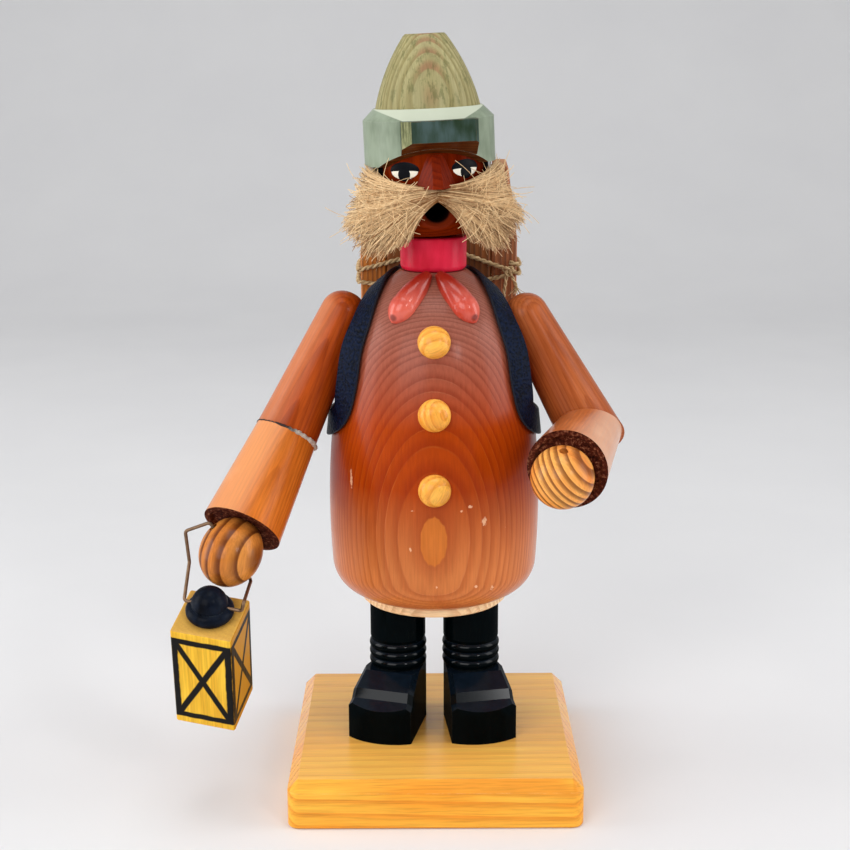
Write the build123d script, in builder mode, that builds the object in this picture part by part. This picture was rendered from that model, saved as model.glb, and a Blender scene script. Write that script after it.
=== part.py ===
from build123d import *
import math
import os

os.makedirs("parts", exist_ok=True)

# Incense smoker: a turned wooden pedlar on a board. The hollow body lifts off the seat
# plate so that an incense cone can be set in the dish, and the smoke leaves by the mouth.
# Millimetres, +Z up, the figure looks along -Y, origin under the middle of the board.

# Fits
SLIP_FIT = 0.10
PEG_FIT = 0.06
GLUE_GAP = 0.05
SOFT_GAP = 0.35

# Board
BASE_SIDE = 96.0
BASE_HEIGHT = 16.0
BASE_BEVEL = 3.5
BASE_CORNER = 4.0
BASE_FOOT_ROUND = 1.0

# Shoes and legs
LEG_X = 12.6
LEG_Y = 4.0
RIGHT_TOE_OUT = 18.0
LEFT_TOE_OUT = 12.0
SHOE_TOE = 23.0
SHOE_HEEL = 12.0
SHOE_TOE_HALF = 11.2
SHOE_HEEL_HALF = 8.7
SHOE_HEIGHT = 20.8
TOE_FACE = 11.8
TOE_ROUND = 3.2
TOE_LEDGE_RUN = 4.4
TOE_LEDGE_RISE = 2.2
TOE_RISER_RUN = 1.6
TOE_RISER_RISE = 3.0
LEG_R = 9.5
ANKLE_R = 9.1
ANKLE_BEAD = 0.75
ANKLE_BEADS = 3
BEAD_PITCH = 3.0
TENON_R = 4.0
LEG_TENON = 6.0
DOWEL_R = 2.5
DOWEL_REACH = 8.0
DOWEL_PITCH = 13.0

# Seat plate, dish and cone
SEAT_UNDER = 63.5
SEAT_RIM = 3.0
SEAT_LIP = 4.5
BODY_WALL = 15.1
SPIGOT_RISE = 7.5
VENT_R = 3.0
VENT_INSET = 4.5
DISH_FLOOR_R = 10.0
DISH_RIM_R = 12.5
DISH_RISE = 3.0
DISH_SHEET = 0.5
NAIL_X = 8.2
NAIL_R = 0.6
NAIL_HEAD_R = 1.2
NAIL_HEAD = 0.5
NAIL_REACH = 6.0
CONE_R = 6.3
CONE_TIP_R = 1.1
CONE_HEIGHT = 26.0

# Body
BODY_R = 35.1
SPIGOT_R = BODY_R - BODY_WALL
SEAT_R = SPIGOT_R + SEAT_LIP
VENT_Y = SPIGOT_R - VENT_INSET
BODY_MID_Z = 97.0
BARREL_ARC = 265.0
SHOULDER_Z = 146.0
FOOT_ARC = 11.5
BODY_TOP = 175.2
CHAMBER_TOP = 130.0
FLUE_START = 150.0
FLUE_R = 5.2
NECK_R = 7.5
NECK_SEAT = 163.0

# Buttons, collar and kerchief
BUTTON_HEIGHTS = (155.8, 133.6, 109.8)
BUTTON_R = 5.2
BUTTON_RISE = 4.3
BUTTON_EDGE = 0.9
BUTTON_PEG_R = 1.8
BUTTON_PEG = 5.0
COLLAR_R = 10.8
COLLAR_TOP = 186.3
COLLAR_LOWER_ROUND = 1.8
COLLAR_UPPER_ROUND = 0.8
SCARF_LENGTH = 20.5
SCARF_R = 4.3
SCARF_SPREAD = 13.6
SCARF_FALL = 14.4

# Head and hat, measured from the top of the neck on the head's own axis
NECK_TOP = 187.0
HEAD_TURN = 5.0
HEAD_LEAN = -2.4
HEAD_R = 18.6
HEAD_FLAT_R = 11.0
CHIN_ARC = 8.0
HEAD_HEIGHT = 31.0
MOUTH_Z = 9.0
MOUTH_R = 3.9
MOUTH_FLARE_R = 6.4
MOUTH_FLARE = 2.6
HAT_R = 21.0
HAT_OVERLAP = 8.3
HAT_CAP = 9.3
HAT_LOW = HEAD_HEIGHT - HAT_OVERLAP
HAT_HIGH = HEAD_HEIGHT + HAT_CAP
NOSE_LENGTH = 10.3
NOSE_REACH = 6.0
NOSE_HIGH = HAT_LOW + 3.6
NOSE_LOW = NOSE_HIGH - NOSE_LENGTH
HAT_BEVEL = 3.5
HAT_CUT_Y = -11.8
HAT_CUT_SLOPE = 0.59
VISOR_X = 1.4
VISOR_HALF = 11.9
VISOR_FRONT = 24.6
VISOR_TOP = HAT_HIGH - 3.4
VISOR_RIGHT_CORNER = 3.0
VISOR_LEFT_CORNER = 0.9
CROWN_R = 16.8
CROWN_TOP_R = 6.9
CROWN_RISE = 22.7
CROWN_TOP = HAT_HIGH + CROWN_RISE
CROWN_PEG_R = 4.0
CROWN_PEG = 4.5

# Arms
RIGHT_SHOULDER_Z = 161.0
LEFT_SHOULDER_Z = 160.0
SHOULDER_Y = 0.5
ARM_STANDOFF = 4.8
UPPER_ARM = 44.5
FOREARM = 36.4
RIGHT_UPPER_AIM = Vector(-0.424, -0.252, -0.870).normalized()
RIGHT_FORE_AIM = Vector(-0.352, -0.631, -0.691).normalized()
LEFT_UPPER_AIM = Vector(0.485, -0.099, -0.870).normalized()
LEFT_FORE_AIM = Vector(-0.285, -0.953, -0.100).normalized()
ARM_SHOULDER_R = 7.6
ARM_ELBOW_R = 10.3
ARM_CUFF_R = 12.9
ARM_CAP = 6.8
CUFF_DISH = 1.2
CUFF_DISH_R = 11.2
HAND_R = 9.9
HAND_TENON = 6.5
RIGHT_HAND_HALF = 11.4
HAND_BORE_R = 1.45
RIGHT_GRIP = Vector(-0.53, -0.06, 0.84).normalized()
LEFT_GRIP = Vector(0.0, -0.34, 0.94).normalized()

# Straps
STRAP_WIDTH = 8.6
STRAP_THICK = 1.1

# Wood bundle and its lashing
PACK_X = 2.0
PACK_FOOT = 118.0
PACK_TILT = 5.0
BILLET_PITCH = 9.0
BILLET_GAP = 0.1
BILLET_EDGE = 1.0
PACK_DEPTH = 16.0
PACK_LENGTHS = (84.0, 87.0, 83.0, 88.0, 85.0, 88.5)
PACK_DEPTHS = (16.0, 14.2, 15.4, 14.6, 15.6, 16.0)
PACK_BEVEL = 3.4
PACK_BEVEL_RUN = 25.0
PACK_DOWEL_Z = 128.0
TWINE_R = 0.85
TWINE_GAP = 0.15
TWINE_RISE = 50.0
TWINE_STEP = 3.2
KNOT_R = 1.9

# Lantern
LANTERN_SIDE = 19.8
LANTERN_HEIGHT = 39.6
LANTERN_TIP = 21.5
LANTERN_LEAN = 6.8
LANTERN_TURN = -10.8
LANTERN_HANG = 36.8
LANTERN_AIM = Vector(-0.187, -0.021, -0.982).normalized()
CAP_R = 7.6
DOME_R = 5.75
CAP_RISE = 10.4
BAIL_R = 0.55
BAIL_OUT = 1.9
BAIL_SPREAD = 7.2

pieces = {}


def keep(name, piece):
    """Label a finished piece and list it for export."""
    piece.label = name
    pieces[name] = piece


def arc_point(centre, radius, angle):
    """Point on an arc of the body's outline, as radius and height."""
    return (centre[0] + radius * math.cos(angle), centre[1] + radius * math.sin(angle))


def upright(x, y):
    """Vertical sketch plane with its origin on the board's underside at x, y."""
    return Plane(origin=(x, y, 0), x_dir=(1, 0, 0), z_dir=(0, -1, 0))


def carried(frame, plane):
    """A plane given in the frame of a tilted sub-assembly."""
    return Plane(frame * plane.location)


def along(start, direction):
    """Sketch plane whose x runs down a limb and whose y is the limb's radius."""
    return Plane(origin=start, x_dir=direction, z_dir=direction.cross(Vector(0, 0, 1)).normalized())


# The body's outline is three arcs that meet without a kink: foot, barrel and shoulder.
# The shoulder arc is the one that ends under the collar's edge.
SEAT_TOP = SEAT_UNDER + SEAT_RIM
barrel_centre = (BODY_R - BARREL_ARC, BODY_MID_Z)
foot_angle = math.asin((SEAT_TOP + FOOT_ARC - BODY_MID_Z) / (BARREL_ARC - FOOT_ARC))
shoulder_angle = math.asin((SHOULDER_Z - BODY_MID_Z) / BARREL_ARC)
foot_centre = arc_point(barrel_centre, BARREL_ARC - FOOT_ARC, foot_angle)
shoulder_start = arc_point(barrel_centre, BARREL_ARC, shoulder_angle)
fall_r = shoulder_start[0] - COLLAR_R
fall_z = shoulder_start[1] - BODY_TOP
fall_out = fall_r * math.cos(shoulder_angle) + fall_z * math.sin(shoulder_angle)
SHOULDER_ARC = (fall_r**2 + fall_z**2) / (2 * fall_out)
shoulder_centre = arc_point(barrel_centre, BARREL_ARC - SHOULDER_ARC, shoulder_angle)
neck_angle = math.asin((BODY_TOP - shoulder_centre[1]) / SHOULDER_ARC)


def body_surface(height):
    """Radius of the body at a height, and the outward normal there as radial and upward parts."""
    if height < SHOULDER_Z:
        centre, radius = barrel_centre, BARREL_ARC
    else:
        centre, radius = shoulder_centre, SHOULDER_ARC
    angle = math.asin((height - centre[1]) / radius)
    return centre[0] + radius * math.cos(angle), math.cos(angle), math.sin(angle)


def body_outline(gap):
    """The outer edge of the body from its foot to its top, moved out by a gap."""
    arcs = (
        (foot_centre, FOOT_ARC + gap, -math.pi / 2, foot_angle),
        (barrel_centre, BARREL_ARC + gap, foot_angle, shoulder_angle),
        (shoulder_centre, SHOULDER_ARC + gap, shoulder_angle, neck_angle),
    )
    for centre, radius, low, high in arcs:
        ThreePointArc(
            arc_point(centre, radius, low),
            arc_point(centre, radius, (low + high) / 2),
            arc_point(centre, radius, high),
        )
    return arc_point(foot_centre, FOOT_ARC + gap, -math.pi / 2), arc_point(
        shoulder_centre, SHOULDER_ARC + gap, neck_angle
    )


# Solid blank of the body, used to shape what is glued to it
with BuildPart() as body_blank:
    with BuildSketch(Plane.XZ):
        with BuildLine():
            low_end, high_end = body_outline(GLUE_GAP)
            Polyline(high_end, (0, high_end[1]), (0, low_end[1]), low_end)
        make_face()
    revolve(axis=Axis.Z)

# Frames of the tilted groups
head_frame = Location((0, 0, NECK_TOP), (0, HEAD_LEAN, HEAD_TURN))
head_axis = Axis(Plane(head_frame).origin, Plane(head_frame).z_dir)
pack_foot_radius = body_surface(PACK_FOOT)[0]
pack_frame = Location((PACK_X, pack_foot_radius + 0.6, PACK_FOOT), (PACK_TILT, 0, 0))

# Board with the holes for the shoe dowels
shoe_frames = {
    "right": Location((-LEG_X, LEG_Y, BASE_HEIGHT), (0, 0, -RIGHT_TOE_OUT)),
    "left": Location((LEG_X, LEG_Y, BASE_HEIGHT), (0, 0, LEFT_TOE_OUT)),
}
dowel_points = []
for frame in shoe_frames.values():
    for step in (0.0, DOWEL_PITCH):
        point = Plane(frame).from_local_coords(Vector(0, -step, 0))
        dowel_points.append((point.X, point.Y))

with BuildPart() as base_board:
    with BuildSketch(Plane.XY):
        RectangleRounded(BASE_SIDE, BASE_SIDE, BASE_CORNER)
    extrude(amount=BASE_HEIGHT)
    chamfer(base_board.faces().sort_by(Axis.Z)[-1].edges(), BASE_BEVEL)
    fillet(base_board.faces().sort_by(Axis.Z)[0].edges(), BASE_FOOT_ROUND)
    with Locations(Plane.XY.offset(BASE_HEIGHT)):
        with Locations(*dowel_points):
            Hole(DOWEL_R + PEG_FIT, depth=DOWEL_REACH + 0.3)
keep("base_board", base_board.part)


def make_shoe(frame):
    """A carved shoe: plan outline, toe cap with a ledge and a riser, and sloping instep."""
    toe_side = -SHOE_TOE + TOE_ROUND
    ledge = -SHOE_TOE + TOE_LEDGE_RUN
    ledge_top = TOE_FACE + TOE_LEDGE_RISE
    with BuildPart() as shoe:
        with BuildSketch(Plane(frame)):
            with BuildLine():
                ThreePointArc((-SHOE_TOE_HALF, toe_side), (0, -SHOE_TOE), (SHOE_TOE_HALF, toe_side))
                Line((SHOE_TOE_HALF, toe_side), (SHOE_HEEL_HALF, SHOE_HEEL - SHOE_HEEL_HALF))
                ThreePointArc(
                    (SHOE_HEEL_HALF, SHOE_HEEL - SHOE_HEEL_HALF),
                    (0, SHOE_HEEL),
                    (-SHOE_HEEL_HALF, SHOE_HEEL - SHOE_HEEL_HALF),
                )
                Line((-SHOE_HEEL_HALF, SHOE_HEEL - SHOE_HEEL_HALF), (-SHOE_TOE_HALF, toe_side))
            make_face()
        extrude(amount=SHOE_HEIGHT)
        with BuildSketch(carried(frame, Plane.YZ)):
            with BuildLine():
                Polyline(
                    (-LEG_R - 0.2, SHOE_HEIGHT),
                    (ledge + TOE_RISER_RUN, ledge_top + TOE_RISER_RISE),
                    (ledge, ledge_top),
                    (-SHOE_TOE, TOE_FACE),
                    (-SHOE_TOE - 5, TOE_FACE),
                    (-SHOE_TOE - 5, SHOE_HEIGHT + 5),
                    (-LEG_R - 0.2, SHOE_HEIGHT + 5),
                    close=True,
                )
            make_face()
        extrude(amount=SHOE_TOE_HALF + 2, both=True, mode=Mode.SUBTRACT)
        top_edges = shoe.edges().filter_by(lambda e: e.center().Z > BASE_HEIGHT + TOE_FACE - 0.5)
        rails = [
            e
            for e in top_edges
            if abs(Plane(frame).to_local_coords(e.center()).X) > 7.5
            and Plane(frame).to_local_coords(e.center()).Y < -LEG_R - 0.5
        ]
        chamfer(rails, 1.7)
        with Locations(carried(frame, Plane.XY.offset(SHOE_HEIGHT))):
            Hole(TENON_R + PEG_FIT, depth=LEG_TENON + 0.3)
        with Locations(carried(frame, Plane.YX)):
            with Locations((0, 0), (-DOWEL_PITCH, 0)):
                Hole(DOWEL_R + PEG_FIT, depth=DOWEL_REACH + 0.3)
    return shoe.part


def make_leg(x):
    """A turned leg with ankle rings and a tenon at each end."""
    low = BASE_HEIGHT + SHOE_HEIGHT
    with BuildPart() as leg:
        with BuildSketch(upright(x, LEG_Y)):
            with BuildLine():
                Polyline((0, low - LEG_TENON), (TENON_R, low - LEG_TENON), (TENON_R, low), (ANKLE_R, low))
                for ring in range(ANKLE_BEADS):
                    foot = low + 0.6 + ring * BEAD_PITCH
                    if ring == 0:
                        Line((ANKLE_R, low), (ANKLE_R, foot))
                    ThreePointArc(
                        (ANKLE_R, foot),
                        (ANKLE_R + ANKLE_BEAD, foot + BEAD_PITCH / 2),
                        (ANKLE_R, foot + BEAD_PITCH),
                    )
                shin = low + 0.6 + ANKLE_BEADS * BEAD_PITCH
                Polyline(
                    (ANKLE_R, shin),
                    (LEG_R, shin + 1.2),
                    (LEG_R, SEAT_UNDER),
                    (TENON_R, SEAT_UNDER),
                    (TENON_R, SEAT_UNDER + LEG_TENON),
                    (0, SEAT_UNDER + LEG_TENON),
                    (0, low - LEG_TENON),
                )
            make_face()
        revolve(axis=Axis((x, LEG_Y, 0), (0, 0, 1)))
    return leg.part


for name, side in (("right", -1), ("left", 1)):
    keep(name + "_shoe", make_shoe(shoe_frames[name]))
    keep(name + "_leg", make_leg(side * LEG_X))

with BuildPart() as shoe_dowels:
    with Locations(Plane.XY.offset(BASE_HEIGHT)):
        with Locations(*dowel_points):
            Cylinder(DOWEL_R, 2 * DOWEL_REACH)
keep("shoe_dowels", shoe_dowels.part)

# Seat plate: the rim shows as a pale line under the body, the spigot goes up into it
SPIGOT_TOP = SEAT_TOP + SPIGOT_RISE
with BuildPart() as seat_plate:
    with BuildSketch(Plane.XZ):
        with BuildLine():
            Polyline(
                (0, SEAT_UNDER),
                (SEAT_R - 0.6, SEAT_UNDER),
                (SEAT_R, SEAT_UNDER + 0.6),
                (SEAT_R, SEAT_TOP - 0.4),
                (SEAT_R - 0.4, SEAT_TOP),
                (SPIGOT_R, SEAT_TOP),
                (SPIGOT_R, SPIGOT_TOP - 1.0),
                (SPIGOT_R - 1.0, SPIGOT_TOP),
                (0, SPIGOT_TOP),
                close=True,
            )
        make_face()
    revolve(axis=Axis.Z)
    with Locations(Plane(origin=(0, 0, SEAT_UNDER), x_dir=(1, 0, 0), z_dir=(0, 0, -1))):
        with Locations((-LEG_X, -LEG_Y), (LEG_X, -LEG_Y)):
            Hole(TENON_R + PEG_FIT, depth=LEG_TENON + 0.3)
    with Locations(Plane.XY.offset(SPIGOT_TOP)):
        with Locations((0, VENT_Y), (0, -VENT_Y)):
            Hole(VENT_R)
        with Locations((-NAIL_X, 0), (NAIL_X, 0)):
            Hole(NAIL_R + PEG_FIT, depth=NAIL_REACH + 0.3)
keep("seat_plate", seat_plate.part)

with BuildPart() as ember_dish:
    with BuildSketch(Plane.XZ):
        with BuildLine():
            Polyline(
                (0, SPIGOT_TOP),
                (DISH_FLOOR_R, SPIGOT_TOP),
                (DISH_RIM_R, SPIGOT_TOP + DISH_RISE),
                (DISH_RIM_R - DISH_SHEET, SPIGOT_TOP + DISH_RISE),
                (DISH_FLOOR_R - 0.3, SPIGOT_TOP + DISH_SHEET),
                (0, SPIGOT_TOP + DISH_SHEET),
                close=True,
            )
        make_face()
    revolve(axis=Axis.Z)
    with Locations(Plane.XY.offset(SPIGOT_TOP + DISH_SHEET)):
        with Locations((-NAIL_X, 0), (NAIL_X, 0)):
            Hole(NAIL_R + PEG_FIT)
keep("ember_dish", ember_dish.part)

with BuildPart() as dish_nails:
    with Locations(Plane.XY.offset(SPIGOT_TOP + DISH_SHEET)):
        with Locations((-NAIL_X, 0), (NAIL_X, 0)):
            Cylinder(NAIL_HEAD_R, NAIL_HEAD, align=(Align.CENTER, Align.CENTER, Align.MIN))
            Cylinder(NAIL_R, NAIL_REACH, align=(Align.CENTER, Align.CENTER, Align.MAX))
keep("dish_nails", dish_nails.part)

with BuildPart() as incense_cone:
    with BuildSketch(Plane.XZ):
        with BuildLine():
            foot = SPIGOT_TOP + DISH_SHEET
            Polyline((CONE_TIP_R, foot + CONE_HEIGHT - 0.8), (CONE_R, foot + 1.0), (CONE_R, foot), (0, foot))
            Line((0, foot), (0, foot + CONE_HEIGHT))
            ThreePointArc(
                (0, foot + CONE_HEIGHT),
                (CONE_TIP_R * 0.7, foot + CONE_HEIGHT - 0.25),
                (CONE_TIP_R, foot + CONE_HEIGHT - 0.8),
            )
        make_face()
    revolve(axis=Axis.Z)
keep("incense_cone", incense_cone.part)


def button_plane(height):
    """Plane on the front of the body at a height, facing straight out."""
    radius, outward, upward = body_surface(height)
    return Plane(origin=(0, -radius, height), x_dir=(1, 0, 0), z_dir=(0, -outward, upward))


right_shoulder = Vector(-body_surface(RIGHT_SHOULDER_Z)[0] - ARM_STANDOFF, SHOULDER_Y, RIGHT_SHOULDER_Z)
left_shoulder = Vector(body_surface(LEFT_SHOULDER_Z)[0] + ARM_STANDOFF, SHOULDER_Y, LEFT_SHOULDER_Z)
right_pin = right_shoulder + RIGHT_UPPER_AIM * 5.0
left_pin = left_shoulder + LEFT_UPPER_AIM * 5.0


# Hollow body with the smoke chamber, the flue and the seat for the neck
with BuildPart() as torso:
    with BuildSketch(Plane.XZ):
        with BuildLine():
            low_end, high_end = body_outline(0)
            Polyline(
                high_end,
                (NECK_R + SLIP_FIT, BODY_TOP),
                (NECK_R + SLIP_FIT, NECK_SEAT),
                (FLUE_R, NECK_SEAT),
                (FLUE_R, FLUE_START),
                (SPIGOT_R + SLIP_FIT, CHAMBER_TOP),
                (SPIGOT_R + SLIP_FIT, SEAT_TOP),
                low_end,
            )
        make_face()
    revolve(axis=Axis.Z)
    for height in BUTTON_HEIGHTS:
        with Locations(button_plane(height)):
            Hole(BUTTON_PEG_R + PEG_FIT, depth=BUTTON_PEG + 0.3)
    for pin, side in ((right_pin, -1), (left_pin, 1)):
        with Locations(Plane(origin=pin, x_dir=(0, 1, 0), z_dir=(side, 0, 0))):
            Hole(DOWEL_R + PEG_FIT, depth=14.3)
    with Locations(Plane(origin=(PACK_X, BODY_R, PACK_DOWEL_Z), x_dir=(1, 0, 0), z_dir=(0, 1, 0))):
        with Locations((-BILLET_PITCH / 2, 0), (BILLET_PITCH / 2, 0)):
            Hole(DOWEL_R + PEG_FIT, depth=9.3)
keep("torso", torso.part)


def make_button(height):
    """A domed button whose back follows the body, with its peg."""
    plane = button_plane(height)
    facing = plane.z_dir
    with BuildPart() as button:
        with BuildSketch(Plane(origin=plane.origin, x_dir=plane.x_dir, z_dir=-plane.y_dir)):
            with BuildLine():
                Polyline((BUTTON_R, BUTTON_EDGE), (BUTTON_R, -1.5), (0, -1.5), (0, BUTTON_RISE))
                ThreePointArc(
                    (0, BUTTON_RISE),
                    (BUTTON_R * 0.66, BUTTON_EDGE + (BUTTON_RISE - BUTTON_EDGE) * 0.76),
                    (BUTTON_R, BUTTON_EDGE),
                )
            make_face()
        revolve(axis=Axis(plane.origin, facing))
        add(body_blank.part, mode=Mode.SUBTRACT)
        with Locations(plane):
            Cylinder(BUTTON_PEG_R, BUTTON_PEG, align=(Align.CENTER, Align.CENTER, Align.MAX))
            with Locations((0, 0, 1.0)):
                Cylinder(BUTTON_PEG_R, 2.0, align=(Align.CENTER, Align.CENTER, Align.MAX))
    return button.part


for name, height in zip(("button_top", "button_middle", "button_low"), BUTTON_HEIGHTS):
    keep(name, make_button(height))

with BuildPart() as collar:
    with BuildSketch(Plane.XZ):
        with BuildLine():
            Polyline((NECK_R + SLIP_FIT, BODY_TOP), (COLLAR_R - COLLAR_LOWER_ROUND, BODY_TOP))
            RadiusArc(
                (COLLAR_R - COLLAR_LOWER_ROUND, BODY_TOP),
                (COLLAR_R, BODY_TOP + COLLAR_LOWER_ROUND),
                -COLLAR_LOWER_ROUND,
            )
            Line((COLLAR_R, BODY_TOP + COLLAR_LOWER_ROUND), (COLLAR_R, COLLAR_TOP - COLLAR_UPPER_ROUND))
            RadiusArc(
                (COLLAR_R, COLLAR_TOP - COLLAR_UPPER_ROUND),
                (COLLAR_R - COLLAR_UPPER_ROUND, COLLAR_TOP),
                -COLLAR_UPPER_ROUND,
            )
            Polyline(
                (COLLAR_R - COLLAR_UPPER_ROUND, COLLAR_TOP),
                (NECK_R + SLIP_FIT, COLLAR_TOP),
                (NECK_R + SLIP_FIT, BODY_TOP),
            )
        make_face()
    revolve(axis=Axis.Z)
keep("collar", collar.part)


def make_scarf_end(side):
    """One drop-shaped kerchief end, lying on the slope of the body below the collar."""
    tip_radius = body_surface(BODY_TOP - SCARF_FALL)[0]
    tip_x = side * SCARF_SPREAD
    tip = Vector(tip_x, -math.sqrt(tip_radius**2 - tip_x**2) - 1.2, BODY_TOP - SCARF_FALL)
    top = Vector(side * 1.6, -body_surface(BODY_TOP - 1.2)[0] - 0.6, BODY_TOP + 0.3)
    direction = (tip - top).normalized()
    plane = along(top, direction)
    with BuildPart() as scarf_end:
        with BuildSketch(plane):
            with BuildLine():
                Line((0, 0), (0, 1.4))
                ThreePointArc((0, 1.4), (SCARF_LENGTH * 0.34, SCARF_R - 0.5), (SCARF_LENGTH * 0.62, SCARF_R))
                ThreePointArc(
                    (SCARF_LENGTH * 0.62, SCARF_R),
                    (SCARF_LENGTH * 0.90, SCARF_R * 0.66),
                    (SCARF_LENGTH, 0),
                )
                Line((SCARF_LENGTH, 0), (0, 0))
            make_face()
        revolve(axis=Axis(top, direction))
        add(body_blank.part, mode=Mode.SUBTRACT)
        with Locations(Plane.XY.offset(BODY_TOP)):
            Cylinder(
                COLLAR_R + GLUE_GAP,
                20,
                align=(Align.CENTER, Align.CENTER, Align.MIN),
                mode=Mode.SUBTRACT,
            )
        with Locations((side * -10, -BODY_R, BODY_TOP)):
            Box(20 - GLUE_GAP, 2 * BODY_R, 60, mode=Mode.SUBTRACT)
    return scarf_end.part


keep("kerchief_right", make_scarf_end(-1))
keep("kerchief_left", make_scarf_end(1))

# Head, bored from below for the smoke and from the front for the mouth
with BuildPart() as head:
    with BuildSketch(carried(head_frame, Plane.XZ)):
        with BuildLine():
            Polyline((0, HEAD_HEIGHT), (0, 0), (HEAD_FLAT_R, 0))
            RadiusArc((HEAD_FLAT_R, 0), (HEAD_R, CHIN_ARC), -CHIN_ARC - 0.2)
            Polyline(
                (HEAD_R, CHIN_ARC),
                (HEAD_R, HEAD_HEIGHT - 1.0),
                (HEAD_R - 1.0, HEAD_HEIGHT),
                (0, HEAD_HEIGHT),
            )
        make_face()
    revolve(axis=head_axis)
    with Locations((0, 0, NECK_SEAT + SLIP_FIT)):
        Cylinder(
            NECK_R,
            NECK_TOP - NECK_SEAT + 4,
            align=(Align.CENTER, Align.CENTER, Align.MIN),
        )
        Cylinder(
            FLUE_R,
            NECK_TOP + MOUTH_Z + MOUTH_R - NECK_SEAT,
            align=(Align.CENTER, Align.CENTER, Align.MIN),
            mode=Mode.SUBTRACT,
        )
    mouth_plane = Plane(origin=(0, -HEAD_R, MOUTH_Z), x_dir=(1, 0, 0), z_dir=(0, -1, 0))
    with Locations(carried(head_frame, mouth_plane)):
        Hole(MOUTH_R, depth=HEAD_R)
        with Locations((0, 0, -MOUTH_FLARE)):
            Cone(
                MOUTH_R,
                MOUTH_FLARE_R + 1.0,
                MOUTH_FLARE + 1.0,
                align=(Align.CENTER, Align.CENTER, Align.MIN),
                mode=Mode.SUBTRACT,
            )
keep("head", head.part)

# Solid blank of the head, used to shape the nose and the tufts
with BuildPart() as head_blank:
    with Locations(Plane(head_frame)):
        Cylinder(
            HEAD_R + GLUE_GAP,
            HEAD_HEIGHT,
            align=(Align.CENTER, Align.CENTER, Align.MIN),
        )

with BuildPart() as nose:
    for height, back_half, front_half, front in (
        (NOSE_LOW, 6.4, 1.6, HEAD_R + NOSE_REACH),
        (NOSE_HIGH, 3.4, 1.2, HEAD_R + NOSE_REACH * 0.15),
    ):
        with BuildSketch(carried(head_frame, Plane.XY.offset(height))):
            with BuildLine():
                Polyline(
                    (-back_half, -HEAD_R + 3.5),
                    (-back_half, -HEAD_R + 1.0),
                    (-front_half, -front),
                    (front_half, -front),
                    (back_half, -HEAD_R + 1.0),
                    (back_half, -HEAD_R + 3.5),
                    close=True,
                )
            make_face()
    loft(ruled=True)
    add(head_blank.part, mode=Mode.SUBTRACT)
keep("nose", nose.part)


def make_beard(side):
    """A combed tuft that spreads from beside the nose over the cheek to a blunt tip.

    Each section is an angle from the front, then radius, height above the nose's foot and half sizes,
    all in head radii.
    """
    sections = (
        (82.0, 1.339, -0.441, 0.140, 0.390),
        (72.0, 1.333, -0.457, 0.237, 0.591),
        (58.0, 1.301, -0.489, 0.237, 0.640),
        (42.0, 1.247, -0.511, 0.194, 0.591),
        (24.0, 1.183, -0.435, 0.134, 0.425),
        (8.0, 1.118, -0.166, 0.065, 0.102),
    )
    with BuildPart() as beard:
        for degrees, radius, height, half_thick, half_high in sections:
            turn = math.radians(degrees)
            outward = Vector(side * math.sin(turn), -math.cos(turn), 0)
            plane = Plane(origin=(0, 0, 0), x_dir=outward, z_dir=outward.cross(Vector(0, 0, 1)))
            with BuildSketch(carried(head_frame, plane)):
                with Locations((radius * HEAD_R, NOSE_LOW + height * HEAD_R)):
                    Ellipse(half_thick * HEAD_R, half_high * HEAD_R)
        loft()
    return beard.part


keep("beard_right", make_beard(-1))
keep("beard_left", make_beard(1))


def hat_outline(gap):
    """Outer edge of the hat band, moved out by a gap."""
    return (
        (HAT_R + gap, HAT_LOW),
        (HAT_R + gap, HAT_HIGH - HAT_BEVEL + gap * 0.4),
        (HAT_R - HAT_BEVEL + gap * 0.4, HAT_HIGH + gap),
    )


# The cap is turned as a cup and sawn off at a slant over the face
hat_cut = carried(
    head_frame,
    Plane(origin=(0, HAT_CUT_Y, HAT_LOW), x_dir=(1, 0, 0), z_dir=(0, HAT_CUT_SLOPE, 1)),
)
with BuildPart() as hat_band:
    with BuildSketch(carried(head_frame, Plane.XZ)):
        with BuildLine():
            Polyline(
                *hat_outline(0),
                (0, HAT_HIGH),
                (0, HEAD_HEIGHT + GLUE_GAP),
                (HEAD_R + SLIP_FIT, HEAD_HEIGHT + GLUE_GAP),
                (HEAD_R + SLIP_FIT, HAT_LOW),
                close=True,
            )
        make_face()
    revolve(axis=head_axis)
    split(bisect_by=hat_cut, keep=Keep.TOP)
    with Locations(carried(head_frame, Plane.XY.offset(HAT_HIGH))):
        Hole(CROWN_PEG_R + PEG_FIT, depth=CROWN_PEG + 0.3)
keep("hat_band", hat_band.part)

with BuildPart() as hat_blank:
    with BuildSketch(carried(head_frame, Plane.XZ)):
        with BuildLine():
            Polyline(*hat_outline(GLUE_GAP), (0, HAT_HIGH + GLUE_GAP), (0, HAT_LOW), close=True)
        make_face()
    revolve(axis=head_axis)

with BuildPart() as hat_visor:
    with BuildSketch(carried(head_frame, Plane.YZ.offset(VISOR_X - VISOR_HALF))):
        with BuildLine():
            Polyline(
                (-VISOR_FRONT, HAT_LOW),
                (-VISOR_FRONT, VISOR_TOP),
                (-CROWN_R, VISOR_TOP),
                (-CROWN_R, HAT_LOW),
                close=True,
            )
        make_face()
    extrude(amount=2 * VISOR_HALF)
    uprights = hat_visor.edges().filter_by(lambda e: abs(e.tangent_at(0.5).dot(head_axis.direction)) > 0.99)
    front_corners = uprights.sort_by(Axis.Y)[:2].sort_by(Axis.X)
    chamfer(front_corners[0], VISOR_RIGHT_CORNER)
    chamfer(front_corners[1], VISOR_LEFT_CORNER)
    split(bisect_by=hat_cut, keep=Keep.TOP)
    add(hat_blank.part, mode=Mode.SUBTRACT)
keep("hat_visor", hat_visor.part)

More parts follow.
